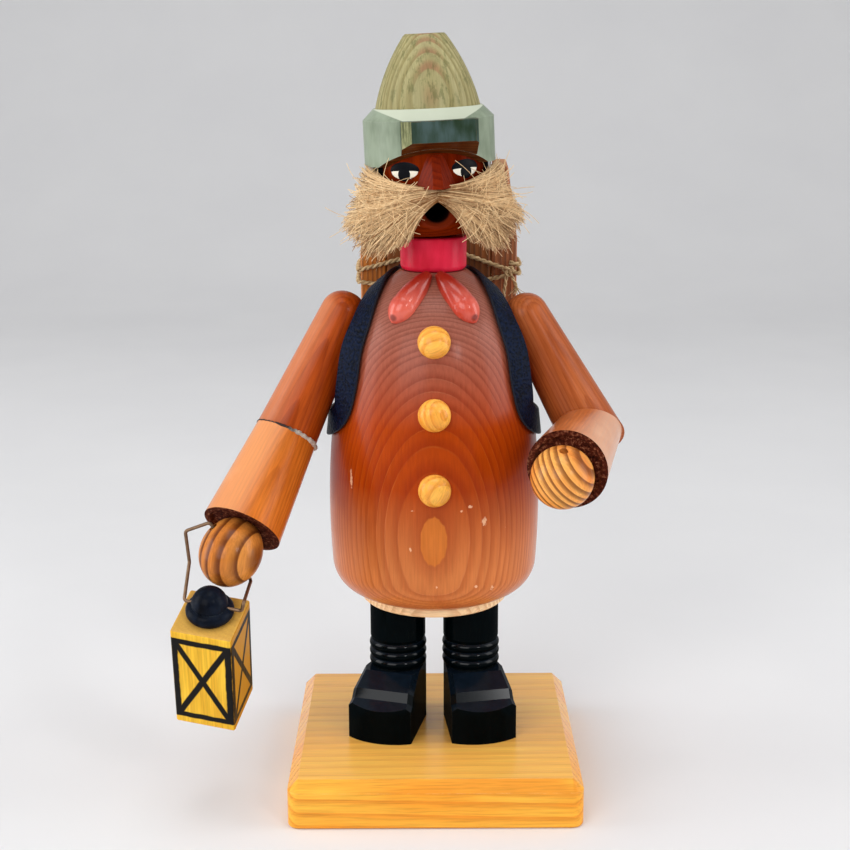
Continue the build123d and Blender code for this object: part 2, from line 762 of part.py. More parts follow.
with BuildPart() as hat_crown:
    with BuildSketch(carried(head_frame, Plane.XZ)):
        with BuildLine():
            Polyline(
                (0, CROWN_TOP),
                (0, HAT_HIGH - CROWN_PEG),
                (CROWN_PEG_R, HAT_HIGH - CROWN_PEG),
                (CROWN_PEG_R, HAT_HIGH),
                (CROWN_R, HAT_HIGH),
            )
            ThreePointArc(
                (CROWN_R, HAT_HIGH),
                (CROWN_R * 0.74, HAT_HIGH + CROWN_RISE * 0.555),
                (CROWN_TOP_R, CROWN_TOP - 0.6),
            )
            Polyline((CROWN_TOP_R, CROWN_TOP - 0.6), (CROWN_TOP_R - 0.7, CROWN_TOP), (0, CROWN_TOP))
        make_face()
    revolve(axis=head_axis)
keep("hat_crown", hat_crown.part)


def make_arm(shoulder, upper, fore, hand_half, grip, pin, side):
    """Upper arm, forearm and hand: sleeves mitred at the elbow, the hand on a tenon."""
    elbow = shoulder + upper * UPPER_ARM
    mitre = Plane(origin=elbow, z_dir=(upper + fore).normalized())
    overrun = ARM_ELBOW_R * 1.4
    flare = (ARM_CUFF_R - ARM_ELBOW_R) / FOREARM
    swell = (ARM_ELBOW_R - ARM_SHOULDER_R) / UPPER_ARM

    with BuildPart() as upper_arm:
        with BuildSketch(along(shoulder, upper)):
            with BuildLine():
                ThreePointArc((-ARM_CAP, 0), (-ARM_CAP * 0.68, ARM_SHOULDER_R * 0.74), (0, ARM_SHOULDER_R))
                Polyline(
                    (0, ARM_SHOULDER_R),
                    (UPPER_ARM + overrun, ARM_ELBOW_R + swell * overrun),
                    (UPPER_ARM + overrun, 0),
                    (-ARM_CAP, 0),
                )
            make_face()
        revolve(axis=Axis(shoulder, upper))
        split(bisect_by=mitre.offset(-GLUE_GAP / 2), keep=Keep.BOTTOM)
        add(body_blank.part, mode=Mode.SUBTRACT)
        with Locations(mitre):
            Hole(DOWEL_R + PEG_FIT, depth=DOWEL_REACH + 0.3)
        with Locations(Plane(origin=pin + Vector(side * 3, 0, 0), x_dir=(0, 1, 0), z_dir=(side, 0, 0))):
            Cylinder(
                DOWEL_R + PEG_FIT,
                30,
                align=(Align.CENTER, Align.CENTER, Align.MAX),
                mode=Mode.SUBTRACT,
            )

    with BuildPart() as forearm:
        with BuildSketch(along(elbow, fore)):
            with BuildLine():
                Polyline(
                    (-overrun, 0),
                    (-overrun, ARM_ELBOW_R - flare * overrun),
                    (FOREARM, ARM_CUFF_R),
                    (FOREARM, CUFF_DISH_R),
                    (FOREARM - CUFF_DISH, CUFF_DISH_R - 0.8),
                    (FOREARM - CUFF_DISH, TENON_R + PEG_FIT),
                    (FOREARM - CUFF_DISH - HAND_TENON - 0.3, TENON_R + PEG_FIT),
                    (FOREARM - CUFF_DISH - HAND_TENON - 0.3, 0),
                    close=True,
                )
            make_face()
        revolve(axis=Axis(elbow, fore))
        split(bisect_by=mitre.offset(GLUE_GAP / 2), keep=Keep.TOP)
        with Locations(Plane(origin=mitre.origin, z_dir=-mitre.z_dir)):
            Hole(DOWEL_R + PEG_FIT, depth=DOWEL_REACH + 0.3)

    seat = FOREARM - CUFF_DISH + GLUE_GAP
    flat = 5.2
    centre = seat + hand_half * math.sqrt(1 - (flat / HAND_R) ** 2)
    with BuildPart() as hand:
        with BuildSketch(along(elbow, fore)):
            with BuildLine():
                Polyline((centre + hand_half, 0), (seat - HAND_TENON, 0), (seat - HAND_TENON, TENON_R))
                Polyline((seat - HAND_TENON, TENON_R), (seat, TENON_R), (seat, flat))
                EllipticalCenterArc(
                    (centre, 0),
                    hand_half,
                    HAND_R,
                    start_angle=0,
                    arc_size=180 - math.degrees(math.asin(flat / HAND_R)),
                )
            make_face()
        revolve(axis=Axis(elbow, fore))
        with Locations(Plane(origin=elbow + fore * centre, z_dir=grip)):
            Cylinder(HAND_BORE_R, 4 * HAND_R, mode=Mode.SUBTRACT)
    return upper_arm.part, forearm.part, hand.part, elbow + fore * centre, mitre


right = make_arm(
    right_shoulder, RIGHT_UPPER_AIM, RIGHT_FORE_AIM, RIGHT_HAND_HALF, RIGHT_GRIP, right_pin, -1
)
left = make_arm(left_shoulder, LEFT_UPPER_AIM, LEFT_FORE_AIM, HAND_R, LEFT_GRIP, left_pin, 1)
for name, arm in (("right", right), ("left", left)):
    keep(name + "_upper_arm", arm[0])
    keep(name + "_forearm", arm[1])
    keep(name + "_hand", arm[2])

with BuildPart() as shoulder_dowels:
    for pin, side in ((right_pin, -1), (left_pin, 1)):
        with Locations(Plane(origin=pin + Vector(side * 2.8, 0, 0), x_dir=(0, 1, 0), z_dir=(side, 0, 0))):
            Cylinder(DOWEL_R, 16.5, align=(Align.CENTER, Align.CENTER, Align.MAX))
keep("shoulder_dowels", shoulder_dowels.part)

with BuildPart() as elbow_dowels:
    for arm in (right, left):
        with Locations(arm[4]):
            Cylinder(DOWEL_R, 2 * DOWEL_REACH)
keep("elbow_dowels", elbow_dowels.part)


def make_strap(side):
    """A leather strap from the bundle over the shoulder, down the chest and back under the arm.

    Each key is an angle from the front, a share of the body's height, a lift in strap thicknesses and
    how far the strap turns its face to the front.
    """
    keys = (
        (150.0, 0.915, 5.4, 0.0),
        (118.0, 0.961, 0.5, 0.0),
        (80.0, 0.948, 0.3, 0.0),
        (61.0, 0.874, 0.6, 0.20),
        (57.0, 0.768, 1.2, 0.45),
        (57.0, 0.670, 1.0, 0.42),
        (63.0, 0.583, 0.4, 0.12),
        (84.0, 0.536, 0.2, 0.0),
        (108.0, 0.527, 0.8, 0.0),
        (126.0, 0.527, 2.4, 0.0),
        (140.0, 0.532, 5.6, 0.0),
    )
    stations = []
    for first, second in zip(keys[:-1], keys[1:]):
        for part_way in (0.0, 0.34, 0.67):
            stations.append([a + (b - a) * part_way for a, b in zip(first, second)])
    stations.append(list(keys[-1]))
    points = []
    normals = []
    for degrees, share, lift, facing in stations:
        height = SEAT_TOP + share * (BODY_TOP - SEAT_TOP)
        radius, outward, upward = body_surface(height)
        turn = math.radians(degrees)
        away = Vector(side * math.sin(turn), -math.cos(turn), 0)
        normal = away * outward + Vector(0, 0, upward)
        rise = SOFT_GAP + STRAP_THICK * (0.5 + lift)
        points.append(away * radius + Vector(0, 0, height) + normal * rise)
        normals.append(normal + Vector(0, -facing, 0))
    with BuildPart() as strap:
        for index, point in enumerate(points):
            ahead = points[min(index + 1, len(points) - 1)]
            behind = points[max(index - 1, 0)]
            tangent = (ahead - behind).normalized()
            across = tangent.cross(normals[index]).normalized()
            with BuildSketch(Plane(origin=point, x_dir=across, z_dir=tangent)):
                Rectangle(STRAP_WIDTH, STRAP_THICK)
        loft(ruled=True)
    return strap.part


keep("right_strap", make_strap(-1))
keep("left_strap", make_strap(1))

# Bundle of split billets, the outer two bevelled towards the top
for index in range(len(PACK_LENGTHS)):
    left_edge = (index - len(PACK_LENGTHS) / 2) * BILLET_PITCH + BILLET_GAP / 2
    right_edge = left_edge + BILLET_PITCH - BILLET_GAP
    length = PACK_LENGTHS[index]
    left_cut = PACK_BEVEL if index == 0 else 0.6
    right_cut = PACK_BEVEL if index == len(PACK_LENGTHS) - 1 else 0.6
    with BuildPart() as billet:
        with BuildSketch(carried(pack_frame, Plane.XZ)):
            with BuildLine():
                Polyline(
                    (left_edge, 0),
                    (right_edge, 0),
                    (right_edge, length - PACK_BEVEL_RUN),
                    (right_edge - right_cut, length),
                    (left_edge + left_cut, length),
                    (left_edge, length - PACK_BEVEL_RUN),
                    close=True,
                )
            make_face()
        extrude(amount=-PACK_DEPTHS[index])
        fillet(billet.edges(), BILLET_EDGE)
        if index in (2, 3):
            middle = PACK_X + (-1 if index == 2 else 1) * BILLET_PITCH / 2
            with Locations((middle, BODY_R, PACK_DOWEL_Z)):
                Cylinder(DOWEL_R + PEG_FIT, 18.6, rotation=(90, 0, 0), mode=Mode.SUBTRACT)
    keep(f"billet_{index + 1}", billet.part)

with BuildPart() as pack_dowels:
    for middle in (PACK_X - BILLET_PITCH / 2, PACK_X + BILLET_PITCH / 2):
        with Locations((middle, BODY_R, PACK_DOWEL_Z)):
            Cylinder(DOWEL_R, 18.0, rotation=(90, 0, 0))
keep("pack_dowels", pack_dowels.part)

# One length of twine wound twice round the bundle, in the bundle's own frame
twine_side = len(PACK_LENGTHS) * BILLET_PITCH / 2 + TWINE_GAP + TWINE_R
twine_front = -TWINE_GAP - TWINE_R
twine_back = PACK_DEPTH + TWINE_GAP + TWINE_R
turns = (
    (0.83, twine_front, 0.25),
    (0.07, twine_front, -1.10),
    (-1.0, twine_front, -0.40),
    (-1.0, twine_back, -0.25),
    (1.0, twine_back, 0.0),
    (1.0, twine_front, 0.45),
    (0.07, twine_front, 3.45),
    (-1.0, twine_front, 0.88),
    (-1.0, twine_back, 0.82),
    (1.0, twine_back, 0.95),
    (1.0, twine_front, 1.45),
    (0.86, twine_front, 1.75),
)
twine_route = [Vector(x * twine_side, y, TWINE_RISE + z * TWINE_STEP) for x, y, z in turns]
twine_points = [Plane(pack_frame).from_local_coords(point) for point in twine_route]
with BuildPart() as twine_lashing:
    with BuildLine() as twine_path:
        FilletPolyline(*twine_points, radius=BILLET_EDGE + TWINE_GAP + TWINE_R)
    with BuildSketch(Plane(origin=twine_path.line @ 0, z_dir=twine_path.line % 0)):
        Circle(TWINE_R)
    sweep(path=twine_path.line)
keep("twine_lashing", twine_lashing.part)

# Least distance between the two turns, skipping neighbours along the twine
samples = [twine_path.line @ (step / 400) for step in range(401)]
apart = min(
    (samples[i] - samples[j]).length for i in range(401) for j in range(i + 12, 401)
)
print("least gap of the twine to itself", round(apart - 2 * TWINE_R, 2))

knot_y = twine_front - TWINE_R - KNOT_R - GLUE_GAP
knot_centre = Plane(pack_frame).from_local_coords(
    Vector(0.85 * twine_side, knot_y, TWINE_RISE + TWINE_STEP)
)
with BuildPart() as twine_knot:
    with Locations(Plane(origin=knot_centre, x_dir=(1, 0, 0), z_dir=(0, 1, 0))):
        Sphere(KNOT_R)
    for drop, sway in ((14.5, -1.6), (9.0, 3.0)):
        with BuildLine() as tail_path:
            ThreePointArc(
                knot_centre + Vector(sway * 0.3, 0, -KNOT_R * 0.3),
                knot_centre + Vector(sway * 0.8, -0.6, -drop * 0.55),
                knot_centre + Vector(sway, 0.2, -drop),
            )
        with BuildSketch(Plane(origin=tail_path.line @ 0, z_dir=tail_path.line % 0)):
            Circle(TWINE_R * 0.75)
        sweep(path=tail_path.line)
keep("twine_knot", twine_knot.part)

# Lantern: a block under a domed cap with a round foot, carried by a wire that passes through the hand
hand_centre = right[3]
lantern_centre = hand_centre + LANTERN_AIM * LANTERN_HANG
lantern_frame = Location(tuple(lantern_centre), (0, 0, LANTERN_TURN)) * Location(
    (0, 0, 0), (0, LANTERN_LEAN, 0)
) * Location((0, 0, 0), (LANTERN_TIP, 0, 0))
lantern_axis = Axis(Plane(lantern_frame).origin, Plane(lantern_frame).z_dir)
block_top = LANTERN_HEIGHT / 2

with BuildPart() as lantern_block:
    with BuildSketch(carried(lantern_frame, Plane.XY.offset(-block_top))):
        Rectangle(LANTERN_SIDE, LANTERN_SIDE)
    extrude(amount=LANTERN_HEIGHT)
    fillet(lantern_block.edges(), 0.8)
keep("lantern_block", lantern_block.part)

bail_seat = block_top + 0.39 * CAP_RISE
with BuildPart() as lantern_cap:
    with BuildSketch(carried(lantern_frame, Plane.YZ)):
        with BuildLine():
            Polyline(
                (0, block_top + CAP_RISE),
                (0, block_top),
                (CAP_R * 0.80, block_top),
            )
            ThreePointArc(
                (CAP_R * 0.80, block_top),
                (CAP_R, block_top + CAP_RISE * 0.25),
                (DOME_R, block_top + CAP_RISE * 0.44),
            )
            ThreePointArc(
                (DOME_R, block_top + CAP_RISE * 0.44),
                (DOME_R * 0.72, block_top + CAP_RISE * 0.83),
                (0, block_top + CAP_RISE),
            )
        make_face()
    revolve(axis=lantern_axis)
    with Locations(carried(lantern_frame, Plane(origin=(0, 0, bail_seat), x_dir=(0, 1, 0), z_dir=(1, 0, 0)))):
        Cylinder(BAIL_R + PEG_FIT, 4 * CAP_R, mode=Mode.SUBTRACT)
keep("lantern_cap", lantern_cap.part)

cap_plane = Plane(lantern_frame)
grip_out = HAND_R + BAIL_OUT
bail_points = (
    cap_plane.from_local_coords(Vector(-0.29 * CAP_R, 0, bail_seat)),
    cap_plane.from_local_coords(Vector(-1.10 * CAP_R, 0, bail_seat)),
    hand_centre + RIGHT_GRIP * grip_out + Vector(-0.97, 0.14, -1.84) * BAIL_SPREAD,
    hand_centre + RIGHT_GRIP * grip_out + Vector(-1.09, 0.08, -0.41) * BAIL_SPREAD,
    hand_centre + RIGHT_GRIP * grip_out,
    hand_centre - RIGHT_GRIP * (grip_out - BAIL_R),
    cap_plane.from_local_coords(Vector(1.45 * CAP_R, 0, bail_seat + 0.42 * CAP_R)),
    cap_plane.from_local_coords(Vector(1.37 * CAP_R, 0, bail_seat)),
    cap_plane.from_local_coords(Vector(0.29 * CAP_R, 0, bail_seat)),
)
with BuildPart() as lantern_bail:
    with BuildLine() as bail_path:
        FilletPolyline(*bail_points, radius=2.2 * BAIL_R)
    with BuildSketch(Plane(origin=bail_path.line @ 0, z_dir=bail_path.line % 0)):
        Circle(BAIL_R)
    sweep(path=bail_path.line)
keep("lantern_bail", lantern_bail.part)

for name, arm in (("right", right), ("left", left)):
    print(name, "hand centre", [round(value, 2) for value in arm[3]])
for name, piece in pieces.items():
    export_step(piece, f"parts/{name}.step")
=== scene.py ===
# %% [markdown]
# # A wooden incense smoker
#
# This folk figure is turned and carved from pine: a hollow body that lifts off its stand, a head with
# a round, bored mouth, a straw beard, a bundle of wood on the back and a lantern in the hand.
# The CAD frame already holds every wooden piece in its true place and size. Blender adds what the
# lathe can't give: grain, stain, paint, leather, straw, and the light that shows them.

# %% Load the frame
import math
import random

import bpy
import numpy as np
from mathutils import Matrix, Vector


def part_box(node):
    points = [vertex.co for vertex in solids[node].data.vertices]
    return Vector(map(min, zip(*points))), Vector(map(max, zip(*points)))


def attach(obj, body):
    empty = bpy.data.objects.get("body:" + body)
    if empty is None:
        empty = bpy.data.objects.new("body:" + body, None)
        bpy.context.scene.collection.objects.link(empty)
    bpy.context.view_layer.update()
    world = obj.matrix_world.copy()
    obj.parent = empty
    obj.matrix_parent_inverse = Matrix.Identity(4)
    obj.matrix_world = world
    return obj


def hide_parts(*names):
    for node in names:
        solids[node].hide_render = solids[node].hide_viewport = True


MM = 0.001
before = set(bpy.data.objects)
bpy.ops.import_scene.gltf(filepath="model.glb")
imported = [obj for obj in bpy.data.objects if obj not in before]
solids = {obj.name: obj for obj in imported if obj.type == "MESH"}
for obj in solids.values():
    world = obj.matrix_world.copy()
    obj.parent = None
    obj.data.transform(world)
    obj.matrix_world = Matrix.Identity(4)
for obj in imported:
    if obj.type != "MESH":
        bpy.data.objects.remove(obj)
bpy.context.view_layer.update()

# %% [markdown]
# The camera stands half a metre in front of the figure, a little above its head, and looks down by
# about thirteen degrees. A camera could be aimed by eye, but the board's four corners and the body's
# outline fix its distance, pitch and focal length, so those numbers are used as they are.

# %% Camera
PICTURE_SIDE = 850
FOCAL_PIXELS = 1617.8
CAMERA_PLACE = (-0.00295, -0.5254, 0.2491)
LOOKING_DOWN, CAMERA_ROLL = 0.236, -0.004

camera_data = bpy.data.cameras.new("studio_camera")
camera_data.sensor_width = 36.0
camera_data.lens = camera_data.sensor_width * FOCAL_PIXELS / PICTURE_SIDE
camera_data.clip_start = 0.01
camera = bpy.data.objects.new("studio_camera", camera_data)
bpy.context.scene.collection.objects.link(camera)
camera.matrix_world = (
    Matrix.Translation(CAMERA_PLACE)
    @ Matrix.Rotation(math.pi / 2 - LOOKING_DOWN, 4, "X")
    @ Matrix.Rotation(CAMERA_ROLL, 4, "Z")
)
bpy.context.scene.camera = camera
bpy.context.scene.view_settings.view_transform = "Standard"
print("lens in mm:", round(camera_data.lens, 2))

# %% [markdown]
# Shader trees grow long when every node takes five lines. This bench keeps each kind of node that
# the finishes need behind one short call, so a material below reads like a recipe. It is a plain
# class round a node tree: nothing is hidden, and any tree it makes can be opened in the editor.


# %% A bench for node trees
class NodeBench:
    """A node tree with short calls for the nodes that wood, paint and leather need."""

    def __init__(self, tree):
        self.tree = tree

    def feed(self, socket, value):
        if isinstance(value, bpy.types.NodeSocket):
            self.tree.links.new(value, socket)
        else:
            socket.default_value = value

    def add(self, kind, inputs=None, **settings):
        node = self.tree.nodes.new("ShaderNode" + kind)
        for key, value in settings.items():
            setattr(node, key, value)
        for key, value in (inputs or {}).items():
            self.feed(node.inputs[key], value)
        return node

    def math(self, operation, first, second=0.0, third=0.0):
        node = self.add("Math", operation=operation)
        for socket, value in zip(node.inputs, (first, second, third)):
            self.feed(socket, value)
        return node.outputs[0]

    def times(self, first, second):
        return self.math("MULTIPLY", first, second)

    def times_plus(self, value, factor, offset):
        return self.math("MULTIPLY_ADD", value, factor, offset)

    def minus(self, first, second):
        return self.math("SUBTRACT", first, second)

    def size(self, value):
        return self.math("ABSOLUTE", value)

    def vector(self, operation, first, second=(0.0, 0.0, 0.0)):
        node = self.add("VectorMath", operation=operation)
        self.feed(node.inputs[0], first)
        self.feed(node.inputs[1], second)
        return node.outputs["Value" if operation in ("LENGTH", "DOT_PRODUCT") else "Vector"]

    def blend(self, amount, first, second, mode="MIX"):
        node = self.add("Mix", data_type="RGBA", blend_type=mode)
        for index, value in ((0, amount), (6, first), (7, second)):
            self.feed(node.inputs[index], value)
        return node.outputs[2]

    def ease(self, value, low, high):
        """0 below low, 1 above high, and a soft change between them."""
        sockets = {"Value": value, "From Min": low, "From Max": high}
        return self.add("MapRange", sockets, interpolation_type="SMOOTHSTEP").outputs["Result"]

    def noise(self, place, stretch=None, detail=2.0, rough=0.5):
        """Noise at a place, which is first stretched by one factor or by one for each axis."""
        if stretch is not None:
            factors = stretch if isinstance(stretch, tuple) else (stretch, stretch, stretch)
            place = self.vector("MULTIPLY", place, factors)
        node = self.add("TexNoise", {"Vector": place, "Scale": 1.0, "Detail": detail, "Roughness": rough})
        return node.outputs["Fac"]

    def ramp(self, value, *stops):
        node = self.add("ValToRGB", {"Fac": value})
        points = node.color_ramp.elements
        while len(points) < len(stops):
            points.new(0.5)
        for point, (position, colour) in zip(points, stops):
            point.position = position
            point.color = colour
        return node.outputs["Color"]

    def parts(self, place):
        return self.add("SeparateXYZ", {"Vector": place}).outputs

    def facing(self):
        """The direction in which the surface of the piece looks."""
        return self.add("TexCoord").outputs["Normal"]

    def mark(self, label):
        """A value that the mesh carries at each of its points."""
        return self.add("Attribute", attribute_name=label).outputs["Fac"]

    def bump(self, height, strength, distance):
        node = self.add("Bump", {"Height": height, "Strength": strength, "Distance": distance})
        return node.outputs["Normal"]

    def group(self, group, inputs):
        return self.add("Group", inputs, node_tree=group).outputs


print("kinds of node at hand:", len([name for name in vars(NodeBench) if not name.startswith("_")]))

# %% [markdown]
# A finish is a material for one or more pieces. Its colours are written as a picture shows them, from
# 0 to 255, because that is how a maker matches paint, and they are turned into linear light here. The
# CAD pieces take a finish through their material slots, so nothing about their shape is touched.


# %% Colours and finishes
def paint(red, green, blue):
    """A colour as a picture shows it, 0 to 255, turned into the linear light that Blender mixes."""
    shares = [value / 255 for value in (red, green, blue)]
    linear = [s / 12.92 if s <= 0.04045 else ((s + 0.055) / 1.055) ** 2.4 for s in shares]
    return (*linear, 1.0)


def new_finish(name):
    """A fresh material: its bench, its shader and the place on the piece in metres."""
    material = bpy.data.materials.new(name)
    material.use_nodes = True
    bench = NodeBench(material.node_tree)
    shader = material.node_tree.nodes["Principled BSDF"]
    return material, bench, shader, bench.add("TexCoord").outputs["Object"]


def lay_on(bench, shader, colour, rough, height=None, strength=0.0, depth=0.0):
    """Feed a finish to its shader: its colour, its roughness and, if there is one, its relief."""
    bench.feed(shader.inputs["Base Color"], colour)
    bench.feed(shader.inputs["Roughness"], rough)
    if height is not None:
        bench.feed(shader.inputs["Normal"], bench.bump(height, strength, depth))


def dress(material, *names):
    """Give CAD nodes a finish through their material slots."""
    for name in names:
        solid = solids[name]
        if not solid.material_slots:
            solid.data.materials.append(material)
        for slot in solid.material_slots:
            slot.material = material


print("mid grey in linear light", [round(v, 3) for v in paint(128, 128, 128)])

# %% [markdown]
# The studio is a sheet of pale card that runs under the figure and curves up behind it, so there is
# no corner in the picture. A plane and a wall would show their join; one swept strip doesn't. The
# card is stage, not part of the object.

# %% Floor
CARD_FRONT, CARD_HALF, CARD_TOP, CARD_GAP = -2.2, 2.4, 2.6, 0.05 * MM
BEND_START, BEND_R, BEND_STEPS = 0.9, 0.7, 12
sweep_profile = [(CARD_FRONT, 0.0), (BEND_START, 0.0)]
for step in range(1, BEND_STEPS + 1):
    bend = math.radians(90.0 * step / BEND_STEPS)
    sweep_profile.append((BEND_START + BEND_R * math.sin(bend), BEND_R - BEND_R * math.cos(bend)))
sweep_profile.append((BEND_START + BEND_R, CARD_TOP))
card_points = [(x, y, z - CARD_GAP) for y, z in sweep_profile for x in (-CARD_HALF, CARD_HALF)]
card_faces = [(i, i + 1, i + 3, i + 2) for i in range(0, len(card_points) - 2, 2)]
card_mesh = bpy.data.meshes.new("studio_card")
card_mesh.from_pydata(card_points, [], card_faces)
card_mesh.polygons.foreach_set("use_smooth", [True] * len(card_faces))
studio_card = bpy.data.objects.new("studio_card", card_mesh)
bpy.context.scene.collection.objects.link(studio_card)
card_finish, bench, shader, place = new_finish("studio_card")
mottle = bench.noise(place, 9.0, 3.0)
lay_on(bench, shader, bench.blend(mottle, paint(226, 226, 228), paint(234, 234, 235)), 0.9)
shader.inputs["Specular IOR Level"].default_value = 0.1
card_mesh.materials.append(card_finish)
print("card sections:", len(card_faces))

# %% [markdown]
# The light is a tent that is open in front: bright overhead and at both sides, dim behind the camera.
# A white room all round would lay a grey veil on every varnished piece, and black lacquer would turn to
# slate. One large lamp in front on the left gives the form, and two broad ones let the flanks glow.
# A small one like a window lays the soft highlight on the chest, and one above catches ledges and tops.


# %% Lamps
def soft_lamp(name, place, aim, width, height, watts):
    """An area lamp that looks at a point."""
    lamp = bpy.data.lights.new(name, "AREA")
    lamp.shape = "RECTANGLE"
    lamp.size, lamp.size_y = width, height
    lamp.energy = watts
    holder = bpy.data.objects.new(name, lamp)
    bpy.context.scene.collection.objects.link(holder)
    holder.location = place
    holder.rotation_euler = (Vector(aim) - Vector(place)).to_track_quat("-Z", "Y").to_euler()


soft_lamp("key_lamp", (-0.75, -1.45, 0.85), (0, 0, 0.12), 1.1, 1.1, 13.0)
soft_lamp("window_lamp", (0.77, -1.20, 0.87), (0, 0, 0.14), 0.2, 0.3, 2.6)
soft_lamp("left_lamp", (-1.0, -0.05, 0.30), (0, 0, 0.12), 0.5, 0.9, 5.0)
soft_lamp("right_lamp", (1.0, -0.15, 0.35), (0, 0, 0.12), 0.5, 0.9, 4.4)
soft_lamp("top_lamp", (0.0, -0.20, 1.10), (0, 0, 0.10), 0.5, 0.5, 2.3)
world = bpy.data.worlds.new("light_tent")
world.use_nodes = True
bench = NodeBench(world.node_tree)
toward = bench.parts(bench.add("TexCoord").outputs["Generated"])
overhead = bench.times(bench.ease(toward["Z"], 0.0, 0.8), 0.45)
flanks = bench.times(bench.ease(bench.size(toward["X"]), 0.35, 0.95), 0.35)
tent = bench.math("ADD", bench.math("ADD", overhead, flanks), 0.06)
air = world.node_tree.nodes["Background"]
bench.feed(air.inputs["Color"], tent)
air.inputs["Strength"].default_value = 1.0
bpy.context.scene.world = world

# %% [markdown]
# Wood looks like wood because of its year rings. A ring is a shell round the pith of the tree, so the
# pattern on a turned body follows from where the pith lay: a shell that just grazes the front of a
# barrel leaves a pointed lens there, and the next ones leave arches round it. The group below measures
# the distance from a pith line, as the saw would find it, and doesn't wrap a flat pattern on the form.


# %% Year rings
def new_group(name, inputs, outputs):
    """A shader node group with named sockets; returns it with its bench, entry and exit."""
    group = bpy.data.node_groups.new(name, "ShaderNodeTree")
    for label, kind, value in inputs:
        socket = group.interface.new_socket(name=label, in_out="INPUT", socket_type="NodeSocket" + kind)
        socket.default_value = value
    for label, kind in outputs:
        group.interface.new_socket(name=label, in_out="OUTPUT", socket_type="NodeSocket" + kind)
    entry = group.nodes.new("NodeGroupInput").outputs
    leave = group.nodes.new("NodeGroupOutput").inputs
    return group, NodeBench(group), entry, leave


PLACE_INPUT = ("Place", "Vector", (0.0, 0.0, 0.0))
RING_INPUTS = [
    PLACE_INPUT,
    ("Pith", "Vector", (0.0, 0.0, 0.0)),
    ("Ring Width", "Float", 0.001),
    ("Wander", "Float", 0.0004),
]
year_rings, bench, entry, leave = new_group(
    "year_rings",
    RING_INPUTS,
    [("Late Wood", "Float"), ("Year Line", "Float"), ("Fibre", "Float"), ("Figure", "Float")],
)
ACROSS_GRAIN = (1.0, 1.0, 0.0)
from_pith = bench.vector("SUBTRACT", entry["Place"], entry["Pith"])
slow = bench.noise(from_pith, (55.0, 55.0, 11.0), 1.5)
flat_distance = bench.vector("LENGTH", bench.vector("MULTIPLY", from_pith, ACROSS_GRAIN))
drift = bench.times(bench.minus(slow, 0.5), entry["Wander"])
rings = bench.math("DIVIDE", bench.math("ADD", flat_distance, drift), entry["Ring Width"])
years = bench.add("TexNoise", {"W": bench.times(rings, 0.6), "Scale": 1.0}, noise_dimensions="1D")
phase = bench.math("FRACT", bench.times_plus(years.outputs["Fac"], 0.8, rings))
rise = bench.ease(phase, 0.25, 0.88)
fall = bench.ease(phase, 0.93, 1.0)
bench.feed(leave["Late Wood"], bench.minus(rise, bench.times(rise, fall)))
bench.feed(leave["Year Line"], bench.times(bench.ease(phase, 0.86, 0.94), bench.minus(1.0, fall)))
bench.feed(leave["Fibre"], bench.noise(from_pith, (1500.0, 1500.0, 60.0), 3.0, 0.6))
bench.feed(leave["Figure"], bench.noise(from_pith, (70.0, 70.0, 22.0), 2.0))
print("year rings put out", [s.name for s in leave if s.name])

# %% [markdown]
# Nearly every piece here is pine under stain or varnish, so one group turns the rings into a finish.
# It takes three colours: pale and deep for the soft wood between the rings, and late for the hard
# dark line at a year's end. It also gives the roughness, because hard wood polishes more than soft,
# and a height for the fine ribs that brushing leaves.


# %% Stained wood
def with_fibres(bench, colour, fibre, dark, light):
    """Fine streaks along the grain, as shares by which they darken and lighten a colour."""
    return bench.blend(1.0, colour, bench.ramp(fibre, (0.25, dark), (0.75, light)), "MULTIPLY")


stained_wood, bench, entry, leave = new_group(
    "stained_wood",
    RING_INPUTS
    + [
        ("Pale", "Color", (0.6, 0.3, 0.1, 1.0)),
        ("Deep", "Color", (0.5, 0.2, 0.1, 1.0)),
        ("Late", "Color", (0.2, 0.1, 0.05, 1.0)),
        ("Contrast", "Float", 0.6),
        ("Polish", "Float", 0.4),
    ],
    [("Color", "Color"), ("Roughness", "Float"), ("Height", "Float")],
)
wood = bench.group(year_rings, {label: entry[label] for label, _, _ in RING_INPUTS})
soft_wood = bench.blend(bench.ease(wood["Figure"], 0.3, 0.7), entry["Pale"], entry["Deep"])
ringed = bench.blend(bench.times(wood["Late Wood"], entry["Contrast"]), soft_wood, entry["Late"])
streaked = with_fibres(bench, ringed, wood["Fibre"], (0.74, 0.72, 0.70, 1.0), (1.12, 1.11, 1.10, 1.0))
bench.feed(leave["Color"], streaked)
uneven = bench.times(bench.minus(wood["Fibre"], 0.5), 0.25)
softer = bench.times_plus(wood["Late Wood"], -0.06, entry["Polish"])
bench.feed(leave["Roughness"], bench.math("ADD", uneven, softer))
bench.feed(leave["Height"], bench.times_plus(wood["Late Wood"], 0.5, wood["Fibre"]))


def wood_grain(bench, place, pith, ring, wander, tones, contrast, polish):
    """The group at work in a material; tones are the pale, deep and late colours."""
    pale, deep, late = (paint(*tone) for tone in tones)
    rings = {"Place": place, "Pith": pith, "Ring Width": ring, "Wander": wander}
    stain = {"Pale": pale, "Deep": deep, "Late": late, "Contrast": contrast, "Polish": polish}
    return bench.group(stained_wood, {**rings, **stain})


print("stained wood takes", [s.name for s in entry if s.name])

# %% [markdown]
# A figure that has stood on shelves for years has marks: paint rubbed off its edges, small pale
# nicks, and a haze of dust in places. Edges could be painted by hand, but they are found here by
# comparing the surface's direction with a rounded copy of it: the two only differ close to an edge.

